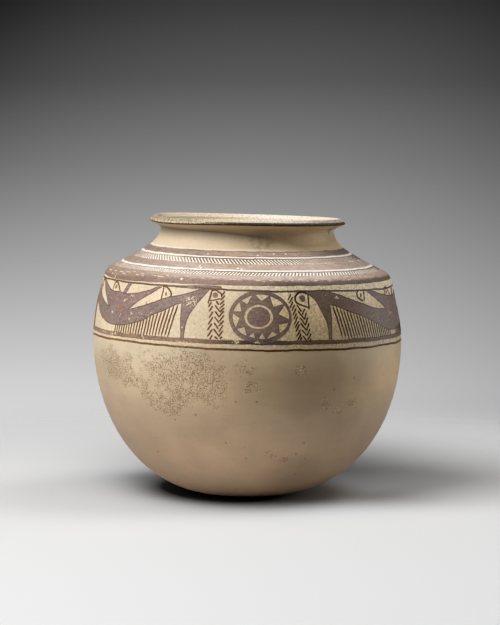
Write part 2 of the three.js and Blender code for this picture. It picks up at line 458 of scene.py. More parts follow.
def stroke_tree():
    """Lays one brush stroke on each flat point, along the point's own reach."""
    inputs = ("Width", "Taper", "Unevenness", "Proud", "Seed", *HAND, "Material")
    nodes, given, result = geometry_tree("Brush strokes", inputs)
    grid = nodes.add(
        "GeometryNodeMeshGrid", {"Size X": 1.0, "Size Y": 1.0, "Vertices X": 3, "Vertices Y": STROKE_ROWS}
    )[0]
    flat = nodes.split(nodes.add("GeometryNodeInputPosition")[0])
    along = nodes.plus(flat[1], 0.5)
    end = nodes.math("POWER", nodes.math("ABSOLUTE", nodes.times(flat[1], 2.0)), STROKE_END_POWER)
    rounding = nodes.math("SQRT", nodes.minus(1.0, end))
    thinning = nodes.minus(1.0, nodes.times(along, given["Taper"]))
    across = nodes.times(flat[0], nodes.times(rounding, thinning))
    stroke = nodes.add(
        "GeometryNodeSetPosition", {"Geometry": grid, "Position": nodes.combine(across, along)}
    )[0]
    reach = nodes.add("GeometryNodeInputNamedAttribute", {"Name": "reach"}, data_type="FLOAT_VECTOR")[0]
    toward = nodes.split(reach)
    turn = nodes.math("ARCTAN2", nodes.times(toward[0], -1.0), toward[1])
    length = nodes.length(reach)

    def uneven(seed_step):
        seed = nodes.plus(given["Seed"], seed_step)
        low = nodes.minus(1.0, given["Unevenness"])
        high = nodes.plus(1.0, given["Unevenness"])
        return nodes.add("FunctionNodeRandomValue", {2: low, 3: high, "Seed": seed}, data_type="FLOAT")[1]

    size = nodes.combine(
        nodes.times(given["Width"], uneven(0.0)), nodes.times(length, uneven(1.0)), 1.0
    )
    strokes = nodes.add("GeometryNodeInstanceOnPoints", {
        "Points": given["Geometry"],
        "Instance": stroke,
        "Rotation": nodes.combine(0.0, 0.0, turn),
        "Scale": size,
    })[0]
    real = nodes.add("GeometryNodeRealizeInstances", {0: strokes})[0]
    merged = nodes.add("GeometryNodeMergeByDistance", {0: real, "Distance": SEAM})[0]
    film = filmed(nodes, merged, given["Proud"])
    nodes.tree.links.new(wrapped_and_finished(nodes, given, film), result)
    return nodes.tree


def profile_curve():
    """The wall profile as a curve that the trees can sample."""
    curve = bpy.data.curves.new("wall_profile", "CURVE")
    curve.dimensions = "3D"
    spline = curve.splines.new("POLY")
    spline.points.add(len(WALL) - 1)
    for point, (radius, height) in zip(spline.points, WALL):
        point.co = (radius, 0, height, 1)
    return bpy.data.objects.new("wall_profile", curve)


def made(name, mesh, tree, **values):
    """A piece with the plain mesh that a tree makes from a starting mesh."""
    piece = bpy.data.objects.new(name, mesh)
    bpy.context.scene.collection.objects.link(piece)
    modifier = piece.modifiers.new("making", "NODES")
    modifier.node_group = tree
    for item in tree.interface.items_tree:
        if item.in_out == "INPUT" and item.name in values:
            modifier[item.identifier] = values[item.name]
    depsgraph = bpy.context.evaluated_depsgraph_get()
    result = bpy.data.meshes.new_from_object(piece.evaluated_get(depsgraph))
    piece.modifiers.remove(modifier)
    piece.data = result
    result.name = name
    return piece


def flat_points(name, points, edges=(), faces=()):
    mesh = bpy.data.meshes.new(name)
    mesh.from_pydata([tuple(point) for point in points], list(edges), list(faces))
    return mesh


# Clay sections

def rows(start, end, step):
    return np.linspace(start, end, max(2, math.ceil(abs(end - start) / step) + 1))


def lip_run():
    """Flat (y, z) points of the lip, from the rim's edge over its crest to the end of the inner face."""
    turn = math.pi - LIP_BEVEL_SLANT - RIM_LIP_SLANT
    bevel = Vector((math.cos(turn), -math.sin(turn)))
    edge = Vector((EDGE_CLIMB, 0))
    corner = edge + Vector((LIP_EDGE_ROUND, 0))
    bevel_foot = corner + bevel * LIP_EDGE_ROUND
    inner_end = Vector((EDGE_CLIMB - LIP_SETBACK, -wall_thickness(EDGE_CLIMB - LIP_SETBACK)))
    crest = inner_end + Vector((LIP_CREST_HANDLE, 0))
    rounding = interpolate_bezier(
        edge, edge.lerp(corner, 2 / 3), bevel_foot.lerp(corner, 2 / 3), bevel_foot, LIP_EDGE_ROWS
    )
    return rounding[:-1] + interpolate_bezier(
        bevel_foot, bevel_foot + bevel * LIP_BEVEL_HANDLE, crest, inner_end, LIP_BEVEL_ROWS
    )


def section_loop(lower, upper):
    """Flat (y, z) loop of a section between two joints; None is the axis or the lip."""
    outer = rows(AXIS_CLIMB if lower is None else lower, EDGE_CLIMB if upper is None else upper, OUTER_ROW)
    inner = rows(
        EDGE_CLIMB - LIP_SETBACK if upper is None else upper + SCARF_CLIMB,
        AXIS_CLIMB if lower is None else lower + SCARF_CLIMB,
        INNER_ROW,
    )
    loop = [(0, y, 0) for y in outer]
    if upper is None:
        loop += [(0, y, z) for y, z in lip_run()[1:-1]]
    loop += [(0, y, -wall_thickness(y)) for y in inner]
    if lower is not None:
        loop.append(loop[0])
    return loop


def clay_section(node, material, lower, upper):
    loop = section_loop(lower, upper)
    piece = made(
        f"{node}_clay", flat_points(node, loop), RING,
        Columns=SECTION_COLUMNS, Wobble=NO_WOBBLE, Bristle=NO_WOBBLE, Material=material,
    )
    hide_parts(node)
    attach(piece, "root")
    return piece


# Painted shapes, in millimetres on the unrolled wall: x right of the jar's front, y up from the belly
TURN_MM = 2 * math.pi * BELLY_RADIUS / MM


def drawn(points):
    """A smooth run of points through a few given ones."""
    marks = [Vector(point) for point in points]
    run = []
    for index in range(len(marks) - 1):
        start, end = marks[index], marks[index + 1]
        before = marks[max(index - 1, 0)]
        after = marks[min(index + 2, len(marks) - 1)]
        count = math.ceil((end - start).length / PAINT_STEP_MM) + 1
        leave = start + (end - before) / 6
        reach = end - (after - start) / 6
        run += interpolate_bezier(start, leave, reach, end, max(count, 2))[:-1]
    return run + [marks[-1]]


def oval(x, y, half_wide, half_high, start=0, end=360):
    """Points of an oval, or of a part of it, between two angles in degrees."""
    count = math.ceil(math.radians(abs(end - start)) * max(half_wide, half_high) / PAINT_STEP_MM) + 3
    turns = np.radians(np.linspace(start, end, count, endpoint=abs(end - start) < 360))
    return [Vector((x + half_wide * math.cos(turn), y + half_high * math.sin(turn))) for turn in turns]


def brushed(points, width, thinning=0.3):
    """Outline of a brush line along a run."""
    run = np.array(drawn(points))
    along = np.gradient(run, axis=0)
    along /= np.hypot(along[:, 0], along[:, 1])[:, None]
    side = np.stack([-along[:, 1], along[:, 0]], axis=1)
    share = np.linspace(0, 1, len(run))
    rounding = np.sqrt(1 - LINE_END_ROUND * (2 * share - 1) ** STROKE_END_POWER)
    half = width / 2 * (1 - thinning * share) * rounding
    edges = np.concatenate([run + side * half[:, None], (run - side * half[:, None])[::-1]])
    return [Vector(point) for point in edges]


def stepped(outline):
    """A closed outline with its long sides cut into short steps, so that they follow the wall."""
    steps = []
    for start, end in zip(outline, outline[1:] + outline[:1]):
        count = math.ceil((end - start).length / (2 * PAINT_STEP_MM))
        steps += [start.lerp(end, index / count) for index in range(count)]
    return steps


class Drawing:
    """Flat areas in the order they are painted. A later area covers an earlier one, or bares the clay."""

    def __init__(self):
        self.areas = []

    def paint(self, outline):
        self.areas.append((outline, True))

    def bare(self, outline):
        self.areas.append((outline, False))

    def mesh(self, name):
        points = []
        faces = []
        for outline, _ in self.areas:
            area = sum(a.cross(b) for a, b in zip(outline, outline[1:] + outline[:1]))
            outline = stepped(outline if area > 0 else outline[::-1])
            faces.append(list(range(len(points), len(points) + len(outline))))
            points += outline
        low = np.min(points, axis=0)
        high = np.max(points, axis=0)
        fill = [
            Vector((x, y))
            for x in np.arange(low[0], high[0], PAINT_FILL_MM)
            for y in np.arange(low[1], high[1], PAINT_FILL_MM)
        ]
        spots, _, triangles, _, _, sources = delaunay_2d_cdt(points + fill, [], faces, 1, DRAWING_GRAIN_MM)
        kept = [face for face, areas in zip(triangles, sources) if areas and self.areas[max(areas)][1]]
        used = sorted({index for face in kept for index in face})
        number = {index: place for place, index in enumerate(used)}
        flat = [(spots[index].x * MM, spots[index].y * MM, 0) for index in used]
        return flat_points(name, flat, faces=[[number[index] for index in face] for face in kept])


EDGE_WIDTH = 0.9
FIGURE_LINE = 1.5

# Sun panel: a rayed disc between two feathered columns
SUN_EDGE = (11.8, 31.2, 28.4, 23.3)
SUN_RING = (12.2, 31.3, 25.3, 19.3)
SUN_GAP_OUTER = (10.5, 31.1, 12.8, 10.6)
SUN_GAP_INNER = (10.5, 31.1, 10.4, 8.9)
# Gathered paint inside the disc's edge, round the gap and inside it
SUN_EDGE_LINES = [(11.8, 31.2, 28.0, 22.9), (10.5, 31.1, 13.2, 11.0), (10.5, 31.1, 10.0, 8.5)]
# Openings between the rays: from and to degrees on the ring, and the inner corner
SUN_OPENINGS = [
    (72.5, 102, (13, 45)),
    (34.7, 70.4, (24, 40.3)),
    (-5.3, 32.2, (28, 33.6)),
    (-49, -14.5, (28, 24.5)),
    (-77.3, -54.5, (22, 18.2)),
    (-95.1, -81.3, (13.3, 16.9)),
    (-114.8, -102.2, (5.8, 17)),
    (-145.5, -119.4, (-2, 22.3)),
    (-186.5, -151, (-6.5, 29.5)),
    (139, 168, (-5, 35.5)),
    (108.5, 133.8, (0.3, 42.5)),
]


def moved(outline, shift):
    return [Vector((point[0] + shift, point[1])) for point in outline]


def edged(points):
    """The thin line where paint has gathered along an edge."""
    return brushed(points, EDGE_WIDTH, thinning=0.0)


def sun(drawing, edges, shift):
    drawing.paint(moved(oval(*SUN_EDGE), shift))
    for start, end, corner in SUN_OPENINGS:
        opening = moved(oval(*SUN_RING, start, end) + [Vector(corner)], shift)
        drawing.bare(opening)
        edges.paint(edged(opening[:-2:3] + opening[-2:-1]))
        edges.paint(edged([opening[-2], opening[-1]]))
        edges.paint(edged([opening[-1], opening[0]]))
        edges.bare(opening)
    drawing.bare(moved(oval(*SUN_GAP_OUTER), shift))
    drawing.paint(moved(oval(*SUN_GAP_INNER), shift))
    for round_edge in SUN_EDGE_LINES:
        run = moved(oval(*round_edge), shift)
        edges.paint(edged(run[::3] + run[:1]))


# Lines of the round-eyed heads on top of the two columns: width, then places
HEAD_LINES = [
    (1.5, [(-33.4, 53.4), (-34.4, 47), (-35.6, 41.2)]),
    (1.5, [(-33.6, 53), (-30.2, 53.6), (-27, 51.9), (-24.7, 50.6), (-24.2, 47.4)]),
    (1.2, [(-34.4, 44.2), (-30, 44.9), (-25, 46.6)]),
    (2.0, [
        (56, 51.4), (53.2, 52.9), (49.8, 53), (46.7, 51.4), (44.8, 48.9), (44.5, 46.6), (45.6, 44.2),
        (48, 43),
    ]),
    (1.5, [(47.2, 43.4), (51.8, 41.5), (56.8, 39.8)]),
    (1.5, [(57, 52), (57.2, 44), (57.5, 37.8)]),
]
LEFT_EYE = (-30, 49.3, 2.5, 2.3)
RIGHT_EYE = [(47.8, 48.4), (50.4, 50.2), (53, 50.2), (54.2, 48), (52.8, 45), (50, 45.6), (47.8, 48.4)]
# Strokes of the two columns: from x and y, to x and y, and how far each runs past both
FEATHER_OVERRUN = 0.07
COLUMN_STROKES = [
    (-32.8, 42.6, -35.3, 38.1), (-31.5, 39.4, -34.4, 34.4), (-30.9, 34.6, -34, 29.3),
    (-30.9, 29.6, -34.8, 23.1), (-31.8, 24, -35.3, 18.5), (-31.3, 19.2, -34.9, 13.5),
    (-31, 14.6, -32.7, 11.2), (-28.5, 44, -26, 40.6), (-29.3, 40.3, -24.2, 34),
    (-29.1, 34.8, -25.2, 30.1), (-29.2, 29.9, -25.2, 24.8), (-29.7, 24.9, -26, 20.1),
    (-30.1, 19.8, -24.7, 13.7), (-28.8, 13.3, -25.8, 11.2), (-21.3, 52.6, -24.4, 48.3),
    (-21, 49.2, -25, 44.6), (-21.5, 44.9, -24.8, 41.2), (-21.2, 41.7, -25, 37.4),
    (-21.3, 38.3, -24.6, 34), (-21.1, 35.3, -25.5, 30), (-20.9, 31.5, -25, 26.2),
    (-21, 27.1, -25.6, 21.9), (-21.5, 23.1, -25.4, 17.3), (-21.7, 18.7, -25.2, 13.5),
    (-22.2, 13.3, -24, 11.2), (40.6, 51.5, 37.6, 46.5), (42.2, 49, 38.5, 43.3), (42.3, 44.9, 39.2, 39.4),
    (43.8, 42.4, 40.8, 36.7), (45.1, 39, 41.5, 32.8), (45.3, 34.6, 42.3, 29.4), (46, 31.7, 42.4, 24.7),
    (46.8, 27.4, 43, 21.7), (47.4, 24.9, 43.4, 17.8), (48, 19.9, 44, 13.9), (48.2, 16.5, 44.6, 10.4),
    (48.8, 13.3, 47.2, 10.9), (46.1, 42.1, 50.1, 35.8), (46.8, 36.5, 52.3, 28.9),
    (48.1, 30.6, 52.9, 23.8), (48.4, 25.6, 53.6, 19.3), (49.4, 19.9, 53.5, 14.7), (49.7, 14.9, 53.4, 9.9),
    (53.3, 38.5, 50.1, 33.1), (54.6, 35.1, 52.3, 29), (55.4, 30.5, 52.9, 24), (56.3, 25.6, 53.6, 19.4),
    (56.9, 20.6, 53.5, 14.8), (57.7, 16.5, 54, 11), (57.5, 11.9, 55.9, 9.9),
]


def column_heads(drawing, lines, shift):
    """The heads on top of the two columns beside a sun: their eyes, and the lines round them."""
    for width, points in HEAD_LINES:
        lines.paint(moved(brushed(points, width, thinning=0.1), shift))
    drawing.paint(moved(oval(*LEFT_EYE), shift))
    drawing.paint(moved(drawn(RIGHT_EYE)[:-1], shift))


def column_feathers(shift):
    """The slanting strokes of the two columns beside a sun."""
    lines = []
    for x, y, to_x, to_y in COLUMN_STROKES:
        start = np.array((x + shift, y))
        end = np.array((to_x + shift, to_y))
        past = (end - start) * FEATHER_OVERRUN
        lines.append((start - past, end + past))
    return lines


# Wings, from a bird's middle outwards; a comb has its count, its first and last feet and slants
SHORT_WING = {
    "lower": [
        (0, 16.4), (12, 17), (22, 18.7), (32, 21), (42, 24.5), (52, 29), (62, 33), (72, 38), (76, 40),
        (80.8, 41),
    ],
    "spike_inner": [(80.8, 41), (81.5, 25), (82.2, 9.5)],
    "spike_outer": [(84.5, 9.5), (86, 22), (89, 30), (92, 36), (97, 43.5), (102, 48.5), (106.3, 53.8)],
    "upper": [(97, 53.6), (87, 50), (77, 47.5), (67, 45.2), (52, 40), (42, 37), (32, 34), (18.5, 31.2)],
    "cleft": [(18.5, 31.2), (32, 40), (42, 45.5), (50, 50), (57, 53.8)],
    "crest": [(51, 54), (42, 51), (32, 48.3), (22, 46), (12, 45), (0, 45.4)],
    "eye_post": [(59, 53.6), (58.9, 48), (58.3, 42)],
    "eye_lid": [(57.6, 54.4), (61.6, 54), (65, 52.4), (68, 49.6), (68.9, 47.6), (68, 45.4)],
    "eye": (62.8, 47.8, 0.8, 1.8),
    "comb": (22, 69, -1, 0.27, 0.08),
}
# The wings of the bird at the left: only the first strokes of a comb show under the far one
FAR_WING = {**SHORT_WING, "comb": (3, 69, 63, 0.27, 0.18)}
NEAR_WING = {
    **SHORT_WING,
    "crest": [(53, 53.8), (47, 51.4), (42, 49.6), (32, 47), (22, 45.3), (12, 44.7), (0, 45.4)],
    "comb": (21, 69, 2, 0.27, 0.08),
}
LONG_WING = {
    "lower": [
        (0, 14.3), (15, 14.8), (23, 16), (30, 18.3), (40, 21.5), (55, 27.5), (75, 33.8), (95, 40.4),
        (100.3, 41.3),
    ],
    "spike_inner": [(100.3, 41.3), (100.3, 30), (101.2, 20), (102, 9.5)],
    "spike_outer": [
        (104.5, 9.5), (104.5, 19), (106, 26), (110, 35.5), (113.5, 42), (117, 47.4), (121, 50.4), (126, 53.2),
    ],
    "upper": [
        (101, 53.2), (90, 50), (80, 47), (70, 44), (60, 41), (50, 38.3), (40, 36), (30, 34.8), (18.5, 33.8),
    ],
    "cleft": [(18.5, 33.8), (28, 39.5), (35, 43.5), (45, 48.8), (53, 53.4)],
    "crest": [(46, 52.4), (30, 49), (20, 47.5), (10, 46), (0, 45.6)],
    "eye_post": [(55.8, 53), (55.9, 47), (56.8, 42.8)],
    "eye_lid": [(62.8, 53.2), (65.5, 51.2), (66.2, 49), (65.1, 46.8), (62.4, 44.9), (58.2, 43.3)],
    "eye": (60.5, 48.4, 1.1, 1.9),
    "comb": (22, 89, 17, 0.275, 0.17),
}
COMB_FOOT = 9.3
COMB_OVERLAP = 0.6
COMB_TRIES = 4
# Birds: middle, then the shape and stretch of the left and right wings
BIRDS = [
    (-142, (FAR_WING, 0.856), (NEAR_WING, 1.0)),
    (180, (LONG_WING, 1.0), (SHORT_WING, 0.868)),
    (458.7, (SHORT_WING, 0.855), (SHORT_WING, 0.870)),
]
SUN_SHIFTS = [0, 308.5, -292.2]
# A bird's head, from its middle: the line round it, its eye and the crest behind it
BIRD_HEAD = [(-15.4, 46), (-15.4, 50), (-12.6, 53.2), (-7, 52.4), (0.4, 45.2)]
BIRD_EYE = (-10.2, 49.2, 2, 1.8)
BIRD_CREST = [(5, 44.8), (11.4, 44.8), (17.4, 53.9), (11, 53.9)]


def wing_place(middle, side, stretch):
    """Gives the flat place of a wing point."""
    def laid(points):
        return [(middle + side * stretch * out, up) for out, up in points]
    return laid


def wing(drawing, lines, edges, shape, laid):
    """Half a body, a double wing with its tip spike and darker edges, and the eye between the two."""
    outline = []
    for edge in ("lower", "spike_inner", "spike_outer", "upper", "cleft", "crest"):
        run = drawn(laid(shape[edge]))
        outline += run[1:] if outline and (run[0] - outline[-1]).length < PAINT_STEP_MM / 4 else run
        edges.paint(edged(laid(shape[edge])))
    drawing.paint(outline)
    lines.paint(brushed(laid(shape["eye_post"]), FIGURE_LINE))
    lines.paint(brushed(laid(shape["eye_lid"]), FIGURE_LINE, thinning=0.0))
    out, up, half_wide, half_high = shape["eye"]
    [(x, y)] = laid([(out, up)])
    lines.paint(oval(x, y, half_wide, half_high))


def bird_head(drawing, lines, middle):
    """A half-round head with its eye, and the slanting crest behind it."""
    lines.paint(moved(brushed(BIRD_HEAD, FIGURE_LINE, thinning=0.0), middle))
    drawing.paint(moved(oval(*BIRD_EYE), middle))
    drawing.paint(moved(BIRD_CREST, middle))


def wing_comb(shape, laid):
    """The strokes that hang from a wing's lower edge, slanting less and less towards the body."""
    count, first_foot, last_foot, first_slant, last_slant = shape["comb"]
    edge = np.array(shape["lower"])
    feet = np.linspace(first_foot, last_foot, count)
    slants = np.linspace(first_slant, last_slant, count)
    lines = []
    for foot, slant in zip(feet, slants):
        top = foot
        for _ in range(COMB_TRIES):
            up = np.interp(top, edge[:, 0], edge[:, 1]) + COMB_OVERLAP
            top = foot + slant * (up - COMB_FOOT)
        start, end = laid([(top, up), (foot, COMB_FOOT)])
        lines.append((np.array(start), np.array(end)))
    return lines


# Lines round the jar, which rise and fall with the painter's hand: width, then places from back to back
BACK = TURN_MM / 2 + 3
BELLY_LINE = (1.75, [
    (-BACK, 2.4), (-300, 2.4), (-150, 3.7), (-100, 3.5), (-60, 2.9), (-20, 2.25), (20, 1.95), (60, 1.85),
    (100, 1.75), (140, 2.0), (300, 2.4), (BACK, 2.4),
])
FRIEZE_TOP_LINE = (1.55, [
    (-BACK, 54.2), (-300, 54.4), (-165, 54.8), (-100, 55), (-60, 55), (-30, 54.5), (-10, 54), (40, 53.7),
    (62, 54.1), (82, 53.8), (105, 53.2), (130, 53), (150, 52.6), (175, 52.5), (300, 54.2), (BACK, 54.2),
])
# A second pass of the brush, which closes the gap under the shoulder band left of the sun
SECOND_PASS = [
    (-84, 55.4), (-60, 54.2), (-48, 53.6), (-26, 53.6), (-24.6, 55.6), (-26, 57.2), (-36, 57.6),
    (-46, 57.4), (-60, 56.7), (-84, 55.4),
]
SHOULDER_SAG = (1.6, [(-190, 57.8), (-165, 57.0), (-140, 57.0), (-100, 57.8), (-70, 58.6)])
# Bands and narrow lines that go all the way round: lower and upper edges
FRIEZE_FOOT_BAND = (6.7, 10.6)
SHOULDER_BANDS = [
    ("shoulder_band", 58.3, 71.0),
    ("middle_band", 80.8, 90.4),
    ("neck_band", 102.2, 109.4),
]
SHOULDER_LINES = [
    ("lower_hatch_line", 76.5, 78.2),
    ("upper_hatch_line", 97.8, 99.2),
    ("neck_band_foot", 101.7, 102.5),
    ("neck_band_top", 108.6, 109.5),
]
# Where the upper hatching is worn away, and the paint that is left there
WORN_HATCH = (61, 152)
FAINT_HATCH = (61, 124)
HATCH_REMAINS = (7.2, [(120, 93.8), (140, 93.8), (154, 93.7)])
LIP_LINE_UNDER = 0.8
LIP_LINE_POINTS = 7
# Hatching: where its strokes start and end, then spacing and lean at places across the front
UPPER_HATCH_EDGES = (98.0, 90.2)
LOWER_HATCH_EDGES = (71.0, 76.9)
UPPER_HATCH = [(-130, 5.0, 11.0), (-100, 4.8, 9.5), (-50, 4.4, 7.2), (0, 4.2, 6.2), (60, 4.2, 5.4)]
LOWER_HATCH = [(-130, 3.6, 3.6), (0, 3.5, 3.6), (60, 3.9, 3.8), (130, 4.3, 3.6)]


def hatching(lower, upper, marks, worn=(0, 0)):
    """Short slanting strokes all the way round, but for a worn stretch.

    Marks give the spacing and lean at places across the front.
    """
    wheres, spacings, leans = np.array(marks).T
    lines = []
    x = -TURN_MM / 2
    while x < TURN_MM / 2:
        if not worn[0] < x < worn[1]:
            lines.append((np.array((x, lower)), np.array((x + np.interp(x, wheres, leans), upper))))
        x += np.interp(x, wheres, spacings)
    return lines


def paint_piece(piece):
    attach(piece, "root")


def painted_band(name, lower, upper, material, drift=0.0, proud=BAND_PROUD):
    """A brush band all the way round, as a closed ring of paint."""
    top = [(0, y, proud) for y in rows(lower * MM, upper * MM, BAND_ROW)]
    loop = [(0, lower * MM, -PAINT_SUNK), *top, (0, upper * MM, -PAINT_SUNK), (0, lower * MM, -PAINT_SUNK)]
    paint_piece(made(
        name, flat_points(name, loop), RING,
        Columns=BAND_COLUMNS, Drift=drift, Wobble=WOBBLE, Bristle=BRISTLE, Material=material,
    ))


def lip_line(material):
    """A dark line painted along the edge of the lip, from just under it to the foot of its bevel."""
    run = np.array([(EDGE_CLIMB - LIP_LINE_UNDER * MM, 0), *lip_run()[:LIP_LINE_POINTS]])
    along = np.gradient(run, axis=0)
    along /= np.hypot(along[:, 0], along[:, 1])[:, None]
    off = np.stack([-along[:, 1], along[:, 0]], axis=1)
    edges = np.concatenate([run + off * STROKE_PROUD, (run - off * PAINT_SUNK)[::-1]])
    loop = [(0, y, z) for y, z in edges]
    piece = made(
        "lip_line", flat_points("lip_line", loop + loop[:1]), RING,
        Columns=BAND_COLUMNS, Wobble=NO_WOBBLE, Bristle=BRISTLE / 2, Material=material,
    )
    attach(piece, "root")


def painted_figures(name, drawing, material, drift=0.0, proud=FIGURE_PROUD):
    paint_piece(made(
        name, drawing.mesh(name), FIGURES,
        Proud=proud, Drift=drift, Wobble=WOBBLE, Bristle=BRISTLE, Material=material,
    ))


def painted_lines(name, lines, material, drift=0.0):
    """Long brush lines along their places."""
    drawing = Drawing()
    for width, places in lines:
        drawing.paint(brushed(places, width, thinning=0.0))
    painted_figures(name, drawing, material, drift)


def painted_strokes(name, lines, material, width, unevenness, seed, drift=0.0):
    starts = np.array([line[0] for line in lines]) * MM
    ends = np.array([line[1] for line in lines]) * MM
    mesh = flat_points(name, [(x, y, 0) for x, y in starts])
    reach = np.zeros((len(lines), 3))
    reach[:, :2] = ends - starts
    mesh.attributes.new("reach", "FLOAT_VECTOR", "POINT").data.foreach_set("vector", reach.ravel())
    paint_piece(made(
        name, mesh, STROKES,
        Width=width, Taper=STROKE_TAPER, Unevenness=unevenness, Proud=STROKE_PROUD, Seed=seed,
        Drift=drift, Wobble=WOBBLE, Bristle=BRISTLE, Material=material,
    ))


# Camera, as the photograph is taken
CAMERA_PLACE = (0.0052, -2.8, 0.3995)
CAMERA_PITCH = 0.0839
CAMERA_YAW = 0.0010
FILM_HEIGHT = 36.0
PHOTO_HEIGHT = 625
FOCAL_PIXELS = 3086.5


def camera():
    lens = bpy.data.cameras.new("camera")
    lens.sensor_fit = "VERTICAL"
    lens.sensor_height = FILM_HEIGHT
    lens.lens = FOCAL_PIXELS / PHOTO_HEIGHT * FILM_HEIGHT
    viewer = bpy.data.objects.new("camera", lens)
    viewer.location = CAMERA_PLACE
    viewer.rotation_euler = (math.pi / 2 - CAMERA_PITCH, 0, CAMERA_YAW)
    bpy.context.scene.collection.objects.link(viewer)
    bpy.context.scene.camera = viewer


# Finishes, in linear colour
CLEAN = (1.0, 1.0, 1.0, 1.0)
OLIVE_TINT = (1.0, 0.90, 0.69, 1.0)
CREAM = (0.87, 0.71, 0.49, 1.0)
DULL_CREAM = (0.73, 0.60, 0.43, 1.0)
BUFF = (0.645, 0.49, 0.32, 1.0)
TAN = (0.525, 0.36, 0.22, 1.0)
WHITE_LIP = (0.92, 0.80, 0.62, 1.0)
WHITE_SLIP_AND_SHEEN = (1.0, 0.91, 0.78, 1.0)
WARM_SLIP_AND_SHEEN = (1.0, 0.84, 0.58, 1.0)
PIT = (0.19, 0.084, 0.020, 1.0)
STAIN = (0.33, 0.20, 0.08, 1.0)
CRUMB = (0.92, 0.76, 0.54, 1.0)
SMUDGE = (0.25, 0.19, 0.14, 1.0)
SOOT_AND_SHADE = (0.07, 0.05, 0.035, 1.0)
TAN_LIP = (0.80, 0.62, 0.40, 1.0)
RIM_GREY = (0.22, 0.175, 0.115, 1.0)
# Brown of the painted shadow that the lip casts on the neck
LIP_SHADOW_BROWN = (0.060, 0.020, 0.005, 1.0)
SPECK = (0.16, 0.12, 0.08, 1.0)
THIN_PAINT = (0.216, 0.150, 0.121)
THICK_PAINT = (0.125, 0.083, 0.062)
EDGE_BROWN = (0.125, 0.080, 0.055)
BAND_BROWN = (0.158, 0.100, 0.067)
LINE_PAINT = (0.062, 0.030, 0.011)
HATCH_PAINT = (0.21, 0.145, 0.105)
REDDENED = (1.08, 0.98, 0.93, 1.0)
# Bluer tints of paint on the lit left, part of its painted sheen
COOL_TINT = (1.0, 1.06, 1.15, 1.0)
LEFT_SHEEN_TINT = (1.0, 1.10, 1.30, 1.0)
PALE_PAINT = (0.50, 0.355, 0.268, 1.0)
ORANGE_WEAR = (0.46, 0.22, 0.09, 1.0)
LIP_PAINT = (0.045, 0.028, 0.016, 1.0)
LIP_BROWN = (0.040, 0.026, 0.014, 1.0)
# Noises of the finishes: fineness, detail, roughness and stretch
SLIP_CLOUDS = (16.0, 3.0)
SLIP_STAINS = (34.0, 4.0)
SLIP_STREAKS = (42.0, 5.0, 0.65, (1, 1, 4))
SLIP_GRAIN = (700.0, 3.0)
SLIP_GRIME = (460.0, 4.0, 0.7)
PIT_CLOUDS = (52.0, 5.0, 0.65)
PIT_GRIT = (960.0, 3.0, 0.7)
PIT_STAINS = (150.0, 5.0, 0.7)
SMUDGE_CLOUDS = (60.0, 3.0)
SURFACE_GRAIN = (900.0, 3.0)
RIM_MOTTLE = (330.0, 4.0, 0.65)
RIM_GRIT = (800.0, 3.0, 0.7)
RIM_WEAR = (480.0, 3.0, 0.7)
PAINT_CLOUDS = (52.0, 5.0, 0.6)
PAINT_MOTTLE = (240.0, 4.0, 0.65, (1, 1, 2))
PAINT_STREAKS = (170.0, 5.0, 0.7, (1, 1, 5))
PAINT_SPECKS = (640.0, 3.0, 0.7)
PAINT_FLAKES = (330.0, 4.0, 0.6)
# How many small grains and larger holes the pits have to the metre
PIT_GRAINS = 520.0
PIT_HOLES = 115.0
# Single marks: degrees right of the front, height and half sizes
SMUDGE_PLACE = (26, 0.116, 0.062, 0.042)
# A soot mark in front, partly painted shade under the rim
SOOT_AND_SHADE_PLACE = (9, 0.2335, 0.030, 0.011)
SMEAR_PLACE = (68, 0.2425, 0.012, 0.0055)
# Painted light on the neck's right, and a painted highlight at the neck's foot
NECK_LIGHT = (46, 0.2350, 0.060, 0.0055)
NECK_FOOT_LIGHT = (4, 0.2250, 0.090, 0.0035)
# A soft spot is full over this share of its half sizes
SPOT_CORE = 0.3
SETTLED_SLOPE = RIM_SETTLING * SETTLED_SHARE / (RIM_RADIUS * RIM_HEIGHT)
# Where the jar's left side turns into its right one, and where its left part begins
RIGHT_SIDE = (-0.08, 0.07)
LEFT_PART = (-0.02, -0.06)


